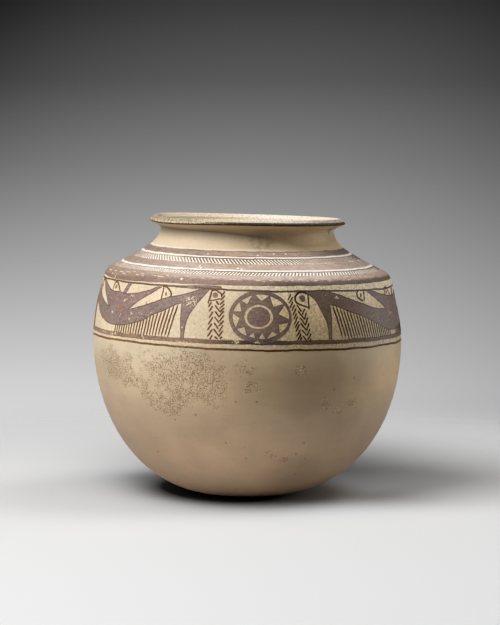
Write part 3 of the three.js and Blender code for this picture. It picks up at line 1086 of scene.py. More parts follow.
class Finish(Nodes):
    """A material being wired, which knows its place on the jar."""

    def __init__(self, name):
        self.material = bpy.data.materials.new(name)
        self.material.use_nodes = True
        super().__init__(self.material.node_tree)
        self.tree.nodes.clear()
        self.place = self.add("ShaderNodeTexCoord")["Object"]
        self.across, self.depth, settled = self.split(self.place)
        self.turn = self.math("ARCTAN2", self.across, self.times(self.depth, -1.0))
        upright = self.times(settled, self.times_plus(self.across, SETTLED_SLOPE, 1.0))
        self.height = self.plus(upright, rim_drop(self, self.place, upright))
        self.right_side = self.by_across(*RIGHT_SIDE)

    def blend(self, factor, first, second):
        return self.add("ShaderNodeMix", {"Factor": factor, 6: first, 7: second}, data_type="RGBA")[2]

    def tinted(self, colour, factor, tint):
        return self.vector("MULTIPLY", colour, self.blend(factor, CLEAN, tint))

    def cloud(self, scale, detail, roughness=0.5, stretch=(1, 1, 1)):
        """A noise over the jar, finer along each axis by its stretch."""
        return self.noise(self.vector("MULTIPLY", self.place, stretch), scale, detail, roughness)[0]

    def by_across(self, *ends):
        """Spreads from one place across the jar to another: 0 to 1, or between two given values."""
        return self.spread(self.across, *ends)

    def by_height(self, *ends):
        """Spreads from one height to another, in the same way."""
        return self.spread(self.height, *ends)

    def by_climb(self, low, high, *values):
        """Spreads between two flat places up the wall, in millimetres."""
        return self.by_height(height_at_climb(low * MM), height_at_climb(high * MM), *values)

    def spot(self, degrees, height, half_wide, half_high):
        """A soft oval on the wall: 1 in its middle, 0 from its edge on."""
        aside = self.minus(self.turn, math.radians(degrees))
        aside = self.times(aside, BELLY_RADIUS / half_wide)
        above = self.times(self.minus(self.height, height), 1 / half_high)
        away = self.math("SQRT", self.plus(self.times(aside, aside), self.times(above, above)))
        return self.spread(away, SPOT_CORE, 1.0, 1.0, 0.0)

    def flat_spots(self, places):
        """Soft ovals at flat places on the wall: x, y, half width and half height in millimetres."""
        whole = 0.0
        for x, y, half_wide, half_high in places:
            height = height_at_climb(y * MM)
            half_rise = height_at_climb((y + half_high) * MM) - height
            oval_mask = self.spot(math.degrees(x * MM / BELLY_RADIUS), height, half_wide * MM, half_rise)
            whole = self.greater(whole, oval_mask)
        return whole

    def end(self, colour, roughness, relief, depth, shine=0.45):
        """Ends the material with one surface; relief is raised by depth in metres."""
        normal = self.add("ShaderNodeBump", {"Height": relief, "Distance": depth})[0]
        shader = self.add("ShaderNodeBsdfPrincipled", {
            "Base Color": colour, "Roughness": roughness, "Specular IOR Level": shine, "Normal": normal,
        })[0]
        self.add("ShaderNodeOutputMaterial", {"Surface": shader})
        return self.material


# Each range of a finish goes from one place to another, and then between two strengths if not 0 and 1
# Slip: where tan clay turns to buff and buff to cream, and how far the clouds shift that
BUFF_HEIGHTS = (0.05, 0.125)
CREAM_HEIGHTS = (0.115, 0.145)
CLOUD_SHIFT = 0.05
OLIVE_HEIGHTS = (0.06, 0.12)
# The low right of the belly, and how much it is dimmed
LOW_HEIGHTS = (0.11, 0.07)
LOW_RIGHT = (0.03, 0.10)
LOW_RIGHT_DIM = 0.17
# Painted shade about the belly, deeper to the right: its top and foot up the wall in millimetres, and its
# depth across the jar
PAINTED_SHADE_TOP = (38, 16)
PAINTED_SHADE_FOOT = (-45, -8)
FRIEZE_PAINTED_SHADE = (-0.025, 0.06, 0.0, 0.24)
BELLY_PAINTED_SHADE = (-0.10, 0.06, 0.07, 0.26)
BELLY_TOP = (6, 2)
# The frieze, its warm upper part and the white slip over it, both partly painted sheen, up the wall in
# millimetres
FRIEZE_FOOT = (0, 6)
FRIEZE_TOP = (64, 60)
WARM_RISE = (34, 57)
WARM_RIGHT = (-0.09, 0.0, 0.0, 0.75)
WHITE_FOOT = (70, 72)
WHITE_TOP = (111, 109.8)
# Light of the slip: its least, what stains, streaks and grain add, and grime by place across
SLIP_LEAST = 0.68
STAIN_LIGHT = 0.30
STREAK_LIGHT = 0.16
GRAIN_LIGHT = 0.18
GRIME_ACROSS = (-0.03, 0.05, 0.9, 2.5)
# Lighter and darker clouds of the belly, the lighter one low in front painted light bounced from the floor:
# how much more light, then degrees, height and half sizes
BELLY_TONES = [
    (0.17, 0, 0.048, 0.075, 0.036),
    (0.15, -32, 0.112, 0.100, 0.030),
    (-0.12, 40, 0.100, 0.085, 0.045),
    (-0.24, 14, 0.106, 0.074, 0.031),
    (0.26, 64, 0.124, 0.050, 0.030),
    (0.17, -24, 0.042, 0.065, 0.030),
    (-0.20, 24, 0.030, 0.065, 0.024),
]


def slip_colour(finish):
    """Cream slip on the upper wall, thinning to tan clay towards the foot, with soft clouds and grain;
    painted shade to the right, painted light low in front and painted sheen towards the shoulder.
    """
    cloud = finish.cloud(*SLIP_CLOUDS)
    shifted = finish.times_plus(cloud, CLOUD_SHIFT, finish.minus(finish.height, CLOUD_SHIFT * NOISE_MIDDLE))
    cream = finish.blend(finish.right_side, CREAM, DULL_CREAM)
    upper = finish.blend(finish.spread(shifted, *CREAM_HEIGHTS), BUFF, cream)
    whole = finish.blend(finish.spread(shifted, *BUFF_HEIGHTS), TAN, upper)
    olive = finish.times(finish.right_side, finish.by_height(*OLIVE_HEIGHTS))
    whole = finish.tinted(whole, olive, OLIVE_TINT)
    low_right = finish.times(finish.by_height(*LOW_HEIGHTS), finish.by_across(*LOW_RIGHT))
    dim = finish.times_plus(low_right, -LOW_RIGHT_DIM, 1.0)
    for more, degrees, height, half_wide, half_high in BELLY_TONES:
        dim = finish.times_plus(finish.spot(degrees, height, half_wide, half_high), more, dim)
    whole = finish.scaled(whole, dim)
    # Painted shade over the lower frieze and the belly, deeper to the right
    painted_shade = finish.times(finish.by_climb(*PAINTED_SHADE_TOP), finish.by_climb(*PAINTED_SHADE_FOOT))
    frieze_shade = finish.by_across(*FRIEZE_PAINTED_SHADE)
    belly_shade = finish.by_across(*BELLY_PAINTED_SHADE)
    belly = finish.by_climb(*BELLY_TOP)
    amount = finish.times_plus(finish.minus(belly_shade, frieze_shade), belly, frieze_shade)
    whole = finish.scaled(whole, finish.minus(1.0, finish.times(painted_shade, amount)))
    below_shoulder = finish.by_climb(*FRIEZE_TOP)
    # A lighter warm slip towards the top of the frieze, partly painted sheen
    near_top = finish.by_climb(*WARM_RISE)
    near_top = finish.times(near_top, finish.by_across(*WARM_RIGHT))
    whole = finish.blend(finish.times(near_top, below_shoulder), whole, WARM_SLIP_AND_SHEEN)
    # Whiter slip on the shoulder, partly painted sheen
    white = finish.by_climb(*WHITE_FOOT)
    white = finish.times(white, finish.by_climb(*WHITE_TOP))
    whole = finish.blend(white, whole, WHITE_SLIP_AND_SHEEN)
    stain = finish.cloud(*SLIP_STAINS)
    grain = finish.cloud(*SLIP_GRAIN)
    streaks = finish.cloud(*SLIP_STREAKS)
    light = finish.times_plus(streaks, STREAK_LIGHT, finish.times_plus(stain, STAIN_LIGHT, SLIP_LEAST))
    light = finish.times_plus(grain, GRAIN_LIGHT, light)
    grime = finish.minus(finish.cloud(*SLIP_GRIME), NOISE_MIDDLE)
    on_frieze = finish.times(below_shoulder, finish.by_climb(*FRIEZE_FOOT))
    grimy = finish.times(on_frieze, finish.by_across(*GRIME_ACROSS))
    light = finish.times_plus(grime, grimy, light)
    return finish.scaled(whole, light)


# Pits: how clouds break up a patch, and how much grit, grains and rare holes then count
PATCH_BREAK = (0.30, 0.60)
PATCH_EDGE = (0.03, 0.60)
PATCH_INSIDE = (0.0, 0.3)
GRIT_BY_PATCH = 0.13
GRIT_PITS = (0.66, 0.74)
GRIT_CRUMBS = (0.46, 0.36)
GRAINS_BY_PATCH = 0.66
GRAIN_KEPT = (0.0, 0.2)
GRAIN_DISC = (0.16, 0.42, 1.0, 0.0)
HOLE_KEPT = (0.70, 0.74)
HOLE_DISC = (0.06, 0.15, 1.0, 0.0)
PIT_DARKNESS = 0.80
HOLE_DARKNESS = 0.7
PIT_DEPTH = 1.2
STAIN_STRENGTH = (0.42, 0.64, 0.0, 0.28)
CRUMB_STRENGTH = 0.46
SMUDGE_STRENGTH = 0.38
# Pitted patches of the belly, as flat places with half sizes
PITTED_PATCHES = [
    (-150, -16, 30, 24),
    (-126, -24, 32, 26),
    (-88, -20, 36, 34),
    (-60, -26, 46, 42),
    (-42, -27, 40, 38),
    (-76, -42, 42, 24),
    (-2, -13, 15, 13),
    (5, -31, 11, 9),
    (48, -16, 9, 8),
    (75, -48, 9, 7),
    (90, -54, 10, 6),
    (105, -47, 9, 5),
    (24, -97, 9, 7),
    (42, -104, 8, 6),
]


def pitted(finish, colour):
    """The pitted patches, mostly on the left of the belly, and a few holes: their colour and darkness."""
    cloud = finish.spread(finish.cloud(*PIT_CLOUDS), *PATCH_BREAK)
    patch = finish.spread(finish.times(cloud, finish.flat_spots(PITTED_PATCHES)), *PATCH_EDGE)
    grit = finish.cloud(*PIT_GRIT)
    thicker = finish.times_plus(patch, GRIT_BY_PATCH, grit)
    pits = finish.times(finish.spread(patch, *PATCH_INSIDE), finish.spread(thicker, *GRIT_PITS))
    grains = finish.add("ShaderNodeTexVoronoi", {"Vector": finish.place, "Scale": PIT_GRAINS})
    chance = finish.minus(finish.times(patch, GRAINS_BY_PATCH), finish.split(grains["Color"])[0])
    grains = finish.spread(grains["Distance"], *GRAIN_DISC)
    pits = finish.greater(pits, finish.times(finish.spread(chance, *GRAIN_KEPT), grains))
    crumbs = finish.times(patch, finish.spread(grit, *GRIT_CRUMBS))
    cells = finish.add("ShaderNodeTexVoronoi", {"Vector": finish.place, "Scale": PIT_HOLES})
    rare = finish.spread(finish.split(cells["Color"])[0], *HOLE_KEPT)
    holes = finish.times(rare, finish.spread(cells["Distance"], *HOLE_DISC))
    dark = finish.greater(finish.times(pits, PIT_DARKNESS), finish.times(holes, HOLE_DARKNESS))
    stain = finish.spread(finish.cloud(*PIT_STAINS), *STAIN_STRENGTH)
    colour = finish.blend(finish.times(patch, stain), colour, STAIN)
    colour = finish.blend(finish.times(crumbs, CRUMB_STRENGTH), colour, CRUMB)
    return finish.blend(dark, colour, PIT), dark


def burnished_clay():
    """The body: slip and clay, its pits, and the grey smudge on the right."""
    finish = Finish("burnished clay")
    smudge = finish.times(finish.spot(*SMUDGE_PLACE), finish.cloud(*SMUDGE_CLOUDS))
    colour = finish.blend(finish.times(smudge, SMUDGE_STRENGTH), slip_colour(finish), SMUDGE)
    colour, dark = pitted(finish, colour)
    grain = finish.cloud(*SURFACE_GRAIN)
    relief = finish.minus(grain, finish.times(dark, PIT_DEPTH))
    return finish.end(colour, roughness=0.55, relief=relief, depth=0.00012)


# The inner face of the mouth: how far it flares from the throat to the lip, and half its soft edge
MOUTH_FLARE = 0.0085
MOUTH_EDGE = 0.001
# The painted shadow that the lip casts on the neck: its height at the far left, its drop in front and how
# fast it bends down, then how far it reaches up and down, its strength and its right end, by the turn in
# radians
SHADE_HEIGHT = 0.2432
SHADE_DROP = 0.0049
SHADE_BEND = 1.74
SHADE_UPWARD = (-0.15, 0.40, 0.0026, 0.0065)
SHADE_DOWNWARD = 0.0055
SHADE_EDGE = 0.0005
SHADE_STRENGTH = (0.05, 0.45, 0.80, 0.30)
SHADE_END = (0.9, 0.6)
# Neck: its painted light across the jar, more of it painted on the right, and the strength of its marks
NECK_LIT = (0.035, 0.058, 0.93, 0.82)
NECK_LIGHT_MORE = 0.55
NECK_FOOT_STRENGTH = 0.7
SOOT_AND_SHADE_MOTTLE = (0.36, 0.64)
SOOT_AND_SHADE_STRENGTH = 0.38
SMEAR_MOTTLE = (0.38, 0.50, 0.0, 0.8)
# Lip: its two colours across the jar, as painted shade and light, the rise to its top, and its wear on the
# left, in front and right
LIP_SIDES = (-0.03, 0.02)
LIP_LIGHT = 0.9
LIP_TOP_RISE = 0.001
WORN_LEFT = (-0.010, -0.050)
WORN_LEFT_DEPTH = (0.035, 0.0)
WORN_FRONT_DEPTH = (-0.02, -0.05, 0.0, 0.4)
WORN_RIGHT = (0.03, 0.07)
WORN_RIGHT_DEPTH = (0.01, -0.02)
WEAR_ROUGH = (0.42, 0.58, 0.2, 1.0)
SPECKS_BY_WEAR = 0.05
SPECK_GRIT = (0.54, 0.64, 0.0, 0.8)


def inside_mouth(finish):
    """1 on the inner face of the neck and rim, 0 on the outer face."""
    flattened = finish.vector("MULTIPLY", finish.place, (1, 1, 0))
    from_axis = finish.length(flattened)
    flare = finish.spread(finish.height, THROAT_HEIGHT, RIM_HEIGHT, 0.0, MOUTH_FLARE, smooth=False)
    middle = finish.plus(flare, THROAT_RADIUS - THROAT_WALL / 2)
    return finish.spread(finish.minus(from_axis, middle), MOUTH_EDGE, -MOUTH_EDGE)


def painted_lip_shadow(finish):
    """The painted shadow of the lip on the neck, brown and hanging lower to the right: 1 on its line, 0 away
    from it.
    """
    bend = finish.math("EXPONENT", finish.times(finish.turn, SHADE_BEND))
    line = finish.times_plus(bend, -SHADE_DROP, SHADE_HEIGHT)
    above = finish.minus(finish.height, line)
    upward = finish.spread(finish.turn, *SHADE_UPWARD)
    reach = finish.spread(above, -SHADE_EDGE, SHADE_EDGE, SHADE_DOWNWARD, upward)
    away = finish.over(finish.math("ABSOLUTE", above), reach)
    shade = finish.fading(away)
    strength = finish.spread(finish.turn, *SHADE_STRENGTH)
    return finish.times(shade, finish.times(strength, finish.spread(finish.turn, *SHADE_END)))


def sooted_and_shaded_clay():
    """The neck and rim: slip with painted light, a painted shadow under the lip, a soot mark in front that is
    partly painted shade, and the rim's worn top.
    """
    finish = Finish("sooted clay")
    mottle = finish.cloud(*RIM_MOTTLE)
    grit = finish.cloud(*RIM_GRIT)
    # Painted light across the neck, more on its right, and a painted highlight at its foot
    lit = finish.by_across(*NECK_LIT)
    lit = finish.times_plus(finish.spot(*NECK_LIGHT), NECK_LIGHT_MORE, lit)
    colour = finish.scaled(slip_colour(finish), lit)
    foot = finish.times(finish.spot(*NECK_FOOT_LIGHT), NECK_FOOT_STRENGTH)
    colour = finish.blend(foot, colour, WHITE_LIP)
    # Soot in front of the neck, partly painted shade under the rim
    soot = finish.times(finish.spot(*SOOT_AND_SHADE_PLACE), finish.spread(mottle, *SOOT_AND_SHADE_MOTTLE))
    colour = finish.blend(finish.times(soot, SOOT_AND_SHADE_STRENGTH), colour, SOOT_AND_SHADE)
    smear = finish.times(finish.spot(*SMEAR_PLACE), finish.spread(mottle, *SMEAR_MOTTLE))
    colour = finish.blend(smear, colour, SOOT_AND_SHADE)
    # Painted shadow of the lip on the neck, in brown
    colour = finish.blend(painted_lip_shadow(finish), colour, LIP_SHADOW_BROWN)

    # The mouth and the top of the lip: whitish, tan in painted shade on the left, worn grey in front and most
    # on the left, with fine specks
    mouth = finish.blend(finish.by_across(*LIP_SIDES), TAN_LIP, WHITE_LIP)
    mouth = finish.scaled(mouth, LIP_LIGHT)
    colour = finish.blend(inside_mouth(finish), colour, mouth)
    top = finish.by_height(RIM_HEIGHT, RIM_HEIGHT + LIP_TOP_RISE)
    colour = finish.blend(top, colour, mouth)
    left = finish.times(finish.by_across(*WORN_LEFT), finish.spread(finish.depth, *WORN_LEFT_DEPTH))
    front = finish.spread(finish.depth, *WORN_FRONT_DEPTH)
    right = finish.times(finish.by_across(*WORN_RIGHT), finish.spread(finish.depth, *WORN_RIGHT_DEPTH))
    worn = finish.greater(left, finish.greater(front, right))
    rough = finish.cloud(*RIM_WEAR)
    worn = finish.times(finish.times(top, worn), finish.spread(rough, *WEAR_ROUGH))
    colour = finish.blend(worn, colour, RIM_GREY)
    thicker = finish.times_plus(finish.greater(left, right), SPECKS_BY_WEAR, grit)
    specks = finish.times(top, finish.spread(thicker, *SPECK_GRIT))
    colour = finish.blend(specks, colour, SPECK)
    return finish.end(colour, roughness=0.6, relief=mottle, depth=0.0004)


# Where paint turns from its painted sheen on the lit left to its strength on the right, as shares of the
# right side
NEAR_TURNING = (0.05, 0.45)
FAR_TURNING = (0.60, 0.88)
FIGURE_TURNING = (0.45, 0.88)
LINE_TURNING = (0.10, 0.75)
END_TURNING = (0.0, 0.12)
# Strength of the paint: its least, and what clouds, mottle and specks add; where mottle reddens it
PAINT_LEAST = -0.8
PAINT_BY_CLOUD = 0.7
PAINT_BY_MOTTLE = 1.3
PAINT_BY_SPECKS = 1.6
RED_MOTTLE = (0.40, 0.62)
# The pale top of the shoulder, rubbed and partly painted sheen where it turns up to the light: where it
# begins up the wall, and how ragged that edge is
RUBBED_CLIMBS = (62.3, 65.5)
RUBBED_SHARES = (0.1, 1.0)
RUBBED_LEAST = 0.75
RUBBED_BY_MOTTLE = 0.5
RAGGED = 0.003
LEFT_END = (-0.075, -0.12)
LEFT_END_LOWER = 0.0035
# Light of the pale paint, partly painted sheen: its streaks, its left side, and the right end and left of the
# neck's band
PALE_STREAKS = (0.30, 0.70, 0.72, 1.28)
PALE_LEFT = (-0.09, -0.03, 0.80, 1.0)
NECK_END_HEIGHTS = (0.2205, 0.2225)
NECK_END_ACROSS = (0.045, 0.085)
NECK_END_DIM = 0.7
NECK_LEFT_HEIGHTS = (0.2200, 0.2215)
NECK_LEFT_ACROSS = (0.0, -0.05)
NECK_LEFT_DIM = 0.14
# Where specks let the orange wear show, and where they and a chip bare the slip
WEAR_SPECKS = (0.36, 0.60, 0.15, 0.75)
CHIP_EDGE = (0.71, 0.74)
# The lip's line: its pale flakes, its grit, and its worn top on the left
PALE_FLAKES = (0.56, 0.74, 0.0, 0.7)
LIP_GRIT = (0.42, 0.60)
LIP_WORN_RISES = (0.0003, 0.0010)
LIP_WORN_LEFT = (-0.010, -0.055)
# Where the brown paint lies thicker: degrees, climb in mm, half sizes and tint
GATHERED_PAINT = [
    (30, 22, 0.075, 0.042, (0.84, 0.80, 0.68, 1.0)),
    (6, 8.5, 0.036, 0.011, (0.68, 0.71, 0.86, 1.0)),
    (-5, 31, 0.024, 0.024, (0.86, 0.87, 0.80, 1.0)),
]
# Where the paint is worn to orange, and chipped, as flat places with half sizes
ORANGE_SPOTS = [(-133, 32.5, 5, 4.5), (-132, 27.5, 3.5, 2.5), (-161, 20.5, 6, 4.5)]
FRIEZE_CHIPS = [
    (-52, 43, 12, 9), (-120, 44, 5, 2.5), (-117, 38.5, 1.6, 1.4), (-118, 28, 5, 2),
    (-119.5, 22.5, 1.6, 2.6), (-70, 41.7, 1.8, 1.4), (-62, 45.8, 2.4, 1.6), (-58.6, 20.6, 1.1, 2.6),
    (-104, 28.4, 4, 1.2), (-130, 38, 4, 3), (-149, 27, 4, 3), (76.5, 50, 2, 1.4), (88, 48, 4, 3),
    (131, 29, 3, 2), (76.5, 18.5, 3, 1), (-10, 9, 6, 2.5), (10, 9, 6, 2.5), (-59, 54.6, 1.8, 1.6),
    (-145, 8, 5, 2), (-101, 9.8, 2, 1.4), (143, 33.5, 2, 1.2), (168, 30, 8, 3), (-160, 8.4, 12, 2.2),
    (-120, 10.2, 14, 0.8), (-60, 7.1, 30, 0.7), (-22, 10.4, 12, 0.7), (40, 10.4, 16, 0.6),
    (90, 10.3, 20, 0.6), (-106.5, 29, 3.5, 1.2), (-108, 24.5, 0.9, 3), (-93, 30.5, 2, 1.2),
    (-134, 26, 1.2, 5), (-127, 40, 2.5, 1.2), (-84, 36, 1.6, 1.0), (-138, 9, 6, 2.4), (-99, 8.2, 1.2, 3),
]
SHOULDER_CHIPS = [
    (-54, 104.5, 2.2, 1.8), (14, 104.5, 1.8, 1.8), (37, 106.6, 2.4, 1.8), (54.5, 106.6, 2.8, 1.6),
    (-55, 85, 1.4, 2.4), (-52.4, 82, 1.4, 2.4), (-10, 83.2, 2.4, 1.6), (-6.5, 81.6, 2.2, 1.8),
    (10, 64.4, 7, 1.2), (23, 64.4, 3.5, 1.2), (31, 64.6, 6, 1.3), (44, 64.2, 2.2, 1.2),
    (69, 64, 4.5, 1.2), (-65, 62.4, 2.4, 1.8), (-14, 64.6, 6, 0.9), (-92, 63.6, 4, 1.0),
    (110, 64, 4, 1.0), (-138, 65, 8, 0.7), (-129, 66.2, 3, 0.9), (-114, 64.8, 5, 0.7),
    (-82, 65, 2.5, 0.8), (3, 65.4, 2, 0.8), (16, 63, 2.4, 0.7), (27, 66.2, 3, 0.7), (38, 63.4, 3, 0.7),
    (52, 65.4, 3, 0.7), (60, 63.6, 2.4, 0.7), (79, 65.6, 6, 0.8), (84, 63, 2, 0.6), (-186, 63, 9, 1.2),
    (-168, 63.8, 8, 1.2), (-153, 64, 8, 1.0), (-144, 62.4, 6, 0.9), (-160, 58.5, 1.2, 5),
    (-171, 60.4, 5, 0.8), (-121, 63, 5, 0.9), (-112, 62.6, 4, 0.8), (-97, 63.8, 5, 0.7),
    (-88, 63.2, 5, 0.8), (112, 68.6, 4, 0.8), (121, 68, 4, 0.9), (130, 67.4, 5, 0.8), (139, 66.4, 4, 0.9),
    (148, 65.6, 5, 0.9),
]


def brown_paint(name, colour, sides, turning, shine, chips=(), chipping=0.0, rubbing_and_sheen=0.0, left_tint=CLEAN):
    """Hand-laid brown paint: mottled, rubbed pale with painted sheen on the shoulder's top, and chipped down
    to the slip.

    Sides is how light it is on the left and on the right, a painted sheen on the lit left, and turning is
    where it passes from one to the other; rubbing_and_sheen is how far the shoulder's top is rubbed pale and
    painted with sheen.
    """
    finish = Finish(name)
    cloud = finish.cloud(*PAINT_CLOUDS)
    mottle = finish.cloud(*PAINT_MOTTLE)
    specks = finish.cloud(*PAINT_SPECKS)
    shade = finish.times_plus(cloud, PAINT_BY_CLOUD, finish.times_plus(mottle, PAINT_BY_MOTTLE, PAINT_LEAST))
    shade = finish.times_plus(specks, PAINT_BY_SPECKS, shade)
    # Painted sheen: the paint is lighter on the lit left, and tinted there by left_tint
    shade = finish.times(shade, finish.spread(finish.right_side, *turning, *sides))
    brown = finish.scaled(colour, shade)
    brown = finish.tinted(brown, finish.spread(mottle, *RED_MOTTLE), REDDENED)
    leftward = finish.by_across(*LEFT_PART)
    brown = finish.tinted(brown, leftward, left_tint)
    for turn, climb, wide, tall, tint in GATHERED_PAINT:
        gathered = finish.spot(turn, height_at_climb(climb * MM), wide, tall)
        brown = finish.tinted(brown, gathered, tint)
    # The pale top of the shoulder: rubbed, and partly painted sheen where it turns up to the light
    ragged = finish.times_plus(mottle, RAGGED, finish.minus(finish.height, RAGGED * NOISE_MIDDLE))
    ragged = finish.times_plus(finish.by_across(*LEFT_END), LEFT_END_LOWER, ragged)
    rub_heights = [height_at_climb(climb * MM) for climb in RUBBED_CLIMBS]
    rubbed = finish.spread(ragged, *rub_heights, *RUBBED_SHARES)
    rub_strength = finish.times_plus(mottle, RUBBED_BY_MOTTLE * rubbing_and_sheen, RUBBED_LEAST * rubbing_and_sheen)
    rubbed = finish.times(rubbed, rub_strength)
    streaks = finish.cloud(*PAINT_STREAKS)
    pale = finish.spread(streaks, *PALE_STREAKS)
    pale = finish.times(pale, finish.by_across(*PALE_LEFT))
    neck_end = finish.times(finish.by_height(*NECK_END_HEIGHTS), finish.by_across(*NECK_END_ACROSS))
    pale = finish.times(pale, finish.times_plus(neck_end, -NECK_END_DIM, 1.0))
    neck_left = finish.times(finish.by_height(*NECK_LEFT_HEIGHTS), finish.by_across(*NECK_LEFT_ACROSS))
    pale = finish.times(pale, finish.times_plus(neck_left, -NECK_LEFT_DIM, 1.0))
    brown = finish.blend(rubbed, brown, finish.scaled(PALE_PAINT[:3], pale))
    wear = finish.flat_spots(ORANGE_SPOTS)
    wear = finish.times(wear, finish.spread(specks, *WEAR_SPECKS))
    brown = finish.blend(wear, brown, ORANGE_WEAR)
    edge = finish.times_plus(finish.flat_spots(chips), chipping, specks)
    brown = finish.blend(finish.spread(edge, *CHIP_EDGE), brown, slip_colour(finish))
    grain = finish.cloud(*SURFACE_GRAIN)
    return finish.end(brown, roughness=0.5, relief=grain, depth=0.00012, shine=shine)


def lip_paint():
    """The near-black line on the edge of the lip."""
    finish = Finish("lip paint")
    flakes = finish.cloud(*PAINT_FLAKES)
    leftward = finish.by_across(*LEFT_PART)
    dark = finish.blend(leftward, LIP_PAINT, LIP_BROWN)
    colour = finish.blend(finish.spread(flakes, *PALE_FLAKES), dark, PALE_PAINT)
    grit = finish.cloud(*RIM_GRIT)
    worn = finish.blend(finish.spread(grit, *LIP_GRIT), TAN_LIP, SPECK)
    upper = finish.by_height(*[RIM_HEIGHT + rise for rise in LIP_WORN_RISES])
    upper = finish.times(upper, finish.by_across(*LIP_WORN_LEFT))
    colour = finish.blend(upper, colour, worn)
    return finish.end(colour, roughness=0.6, relief=flakes, depth=0.0001, shine=0.1)


# Stage
FLOOR_HALF = 2.0
FLOOR_SEGMENTS = 128
FLOOR_SEEN = 0.75
FLOOR_BOUNCE_NEAR = 0.62
FLOOR_BOUNCE_FAR = 0.1
FLOOR_BOUNCE_RADII = (0.2, 0.5)
FLOOR_SOLID_RADIUS = 0.55
FLOOR_GONE_RADIUS = 0.95
FLOOR_FRONT = (0, 0.2, 0)
FLOOR_BOUNCE_FRONT = (0, 0.1, 0)
FLOOR_GAP = 0.0003
# Painted brightness of the seen floor in the middle, and how it grows to the right
FLOOR_LEVEL = 1.04
FLOOR_LEAN = 0.064
# Soft pools of painted shadow on the seen floor: strength, middle, half sizes and turn in radians
FLOOR_SHADE = [
    (1.80, (-0.025, 0.016), (0.063, 0.105), 0.30),
    (0.85, (0.033, 0.200), (0.196, 0.133), 1.50),
    (0.28, (0.122, -0.040), (0.045, 0.045), 0.0),
    (0.30, (-0.090, 0.100), (0.030, 0.040), 0.0),
]
# A painted cool tint on the seen floor near the jar, against the warm light the jar bounces onto it
COOL_FLOOR = (0.98, 1.0, 1.03, 1.0)
COOL_RADII = (0.10, 0.24)
FLOOR_SHADE_LEAST = 0.03


def looking(nodes):
    """1 for a ray that looks at the stage, straight or in a gloss, and 0 for one that only carries light."""
    ray = nodes.add("ShaderNodeLightPath")
    mirrored = nodes.greater(ray["Is Glossy Ray"], ray["Is Transmission Ray"])
    return nodes.greater(ray["Is Camera Ray"], mirrored)


def floor_shade(nodes):
    """How much of the floor's brightness is left under and behind the jar, as painted shadow."""
    across, depth, _ = nodes.split(nodes.place)
    left = nodes.times_plus(across, FLOOR_LEAN, FLOOR_LEVEL)
    for strength, (x, y), (half_long, half_wide), turn in FLOOR_SHADE:
        from_x = nodes.minus(across, x)
        from_y = nodes.minus(depth, y)
        along = nodes.times_plus(from_x, math.cos(turn), nodes.times(from_y, math.sin(turn)))
        aside = nodes.times_plus(from_x, -math.sin(turn), nodes.times(from_y, math.cos(turn)))
        along = nodes.over(along, half_long)
        aside = nodes.over(aside, half_wide)
        away = nodes.times_plus(along, along, nodes.times(aside, aside))
        pool = nodes.fading(away)
        kept = nodes.greater(nodes.times_plus(pool, -strength, 1.0), FLOOR_SHADE_LEAST)
        left = nodes.times(left, kept)
    return left


def floor():
    """A pale sweep that thins out into the backdrop, with painted shadow about the jar where the viewer sees
    it.
    """
    turns = np.linspace(0, 2 * math.pi, FLOOR_SEGMENTS, endpoint=False)
    rim = [(FLOOR_HALF * math.cos(turn), FLOOR_HALF * math.sin(turn), -FLOOR_GAP) for turn in turns]
    mesh = flat_points("floor", rim, faces=[list(range(FLOOR_SEGMENTS))])
    nodes = Finish("pale sweep")
    place = nodes.place
    reach = nodes.length(nodes.vector("ADD", place, FLOOR_FRONT))
    gone = nodes.spread(reach, FLOOR_SOLID_RADIUS, FLOOR_GONE_RADIUS)
    from_front = nodes.length(nodes.vector("ADD", place, FLOOR_BOUNCE_FRONT))
    bounce = nodes.spread(from_front, *FLOOR_BOUNCE_RADII, FLOOR_BOUNCE_NEAR, FLOOR_BOUNCE_FAR)
    viewed = looking(nodes)
    by_jar = nodes.length(place)
    cool = nodes.blend(nodes.spread(by_jar, *COOL_RADII), COOL_FLOOR, CLEAN)
    seen = nodes.scaled(cool, nodes.times(floor_shade(nodes), FLOOR_SEEN))
    grey = nodes.blend(viewed, bounce, seen)
    pale = nodes.add("ShaderNodeBsdfDiffuse", {"Color": grey})[0]
    clear = nodes.add("ShaderNodeBsdfTransparent")[0]
    mixed = nodes.add("ShaderNodeMixShader", {0: gone, 1: pale, 2: clear})[0]
    nodes.add("ShaderNodeOutputMaterial", {"Surface": mixed})
    mesh.materials.append(nodes.material)
    sweep = bpy.data.objects.new("floor", mesh)
    bpy.context.scene.collection.objects.link(sweep)


# Brightness of the backdrop by the elevation of the view ray, in degrees
BACKDROP = [
    (0.9, 0.045), (-0.5, 0.098), (-2.0, 0.211), (-3.5, 0.345), (-5.0, 0.485), (-6.1, 0.585),
    (-7.0, 0.615), (-8.5, 0.63),
]
BACKDROP_HALF = 0.078
BACKDROP_REACH = 1.1
# How the backdrop leans and domes from side to side: by the square of the share of its rise, and besides
BACKDROP_LEAN = (0.28, -0.18)
BACKDROP_DOME = (-0.45, -0.05)
AMBIENT = 0.02


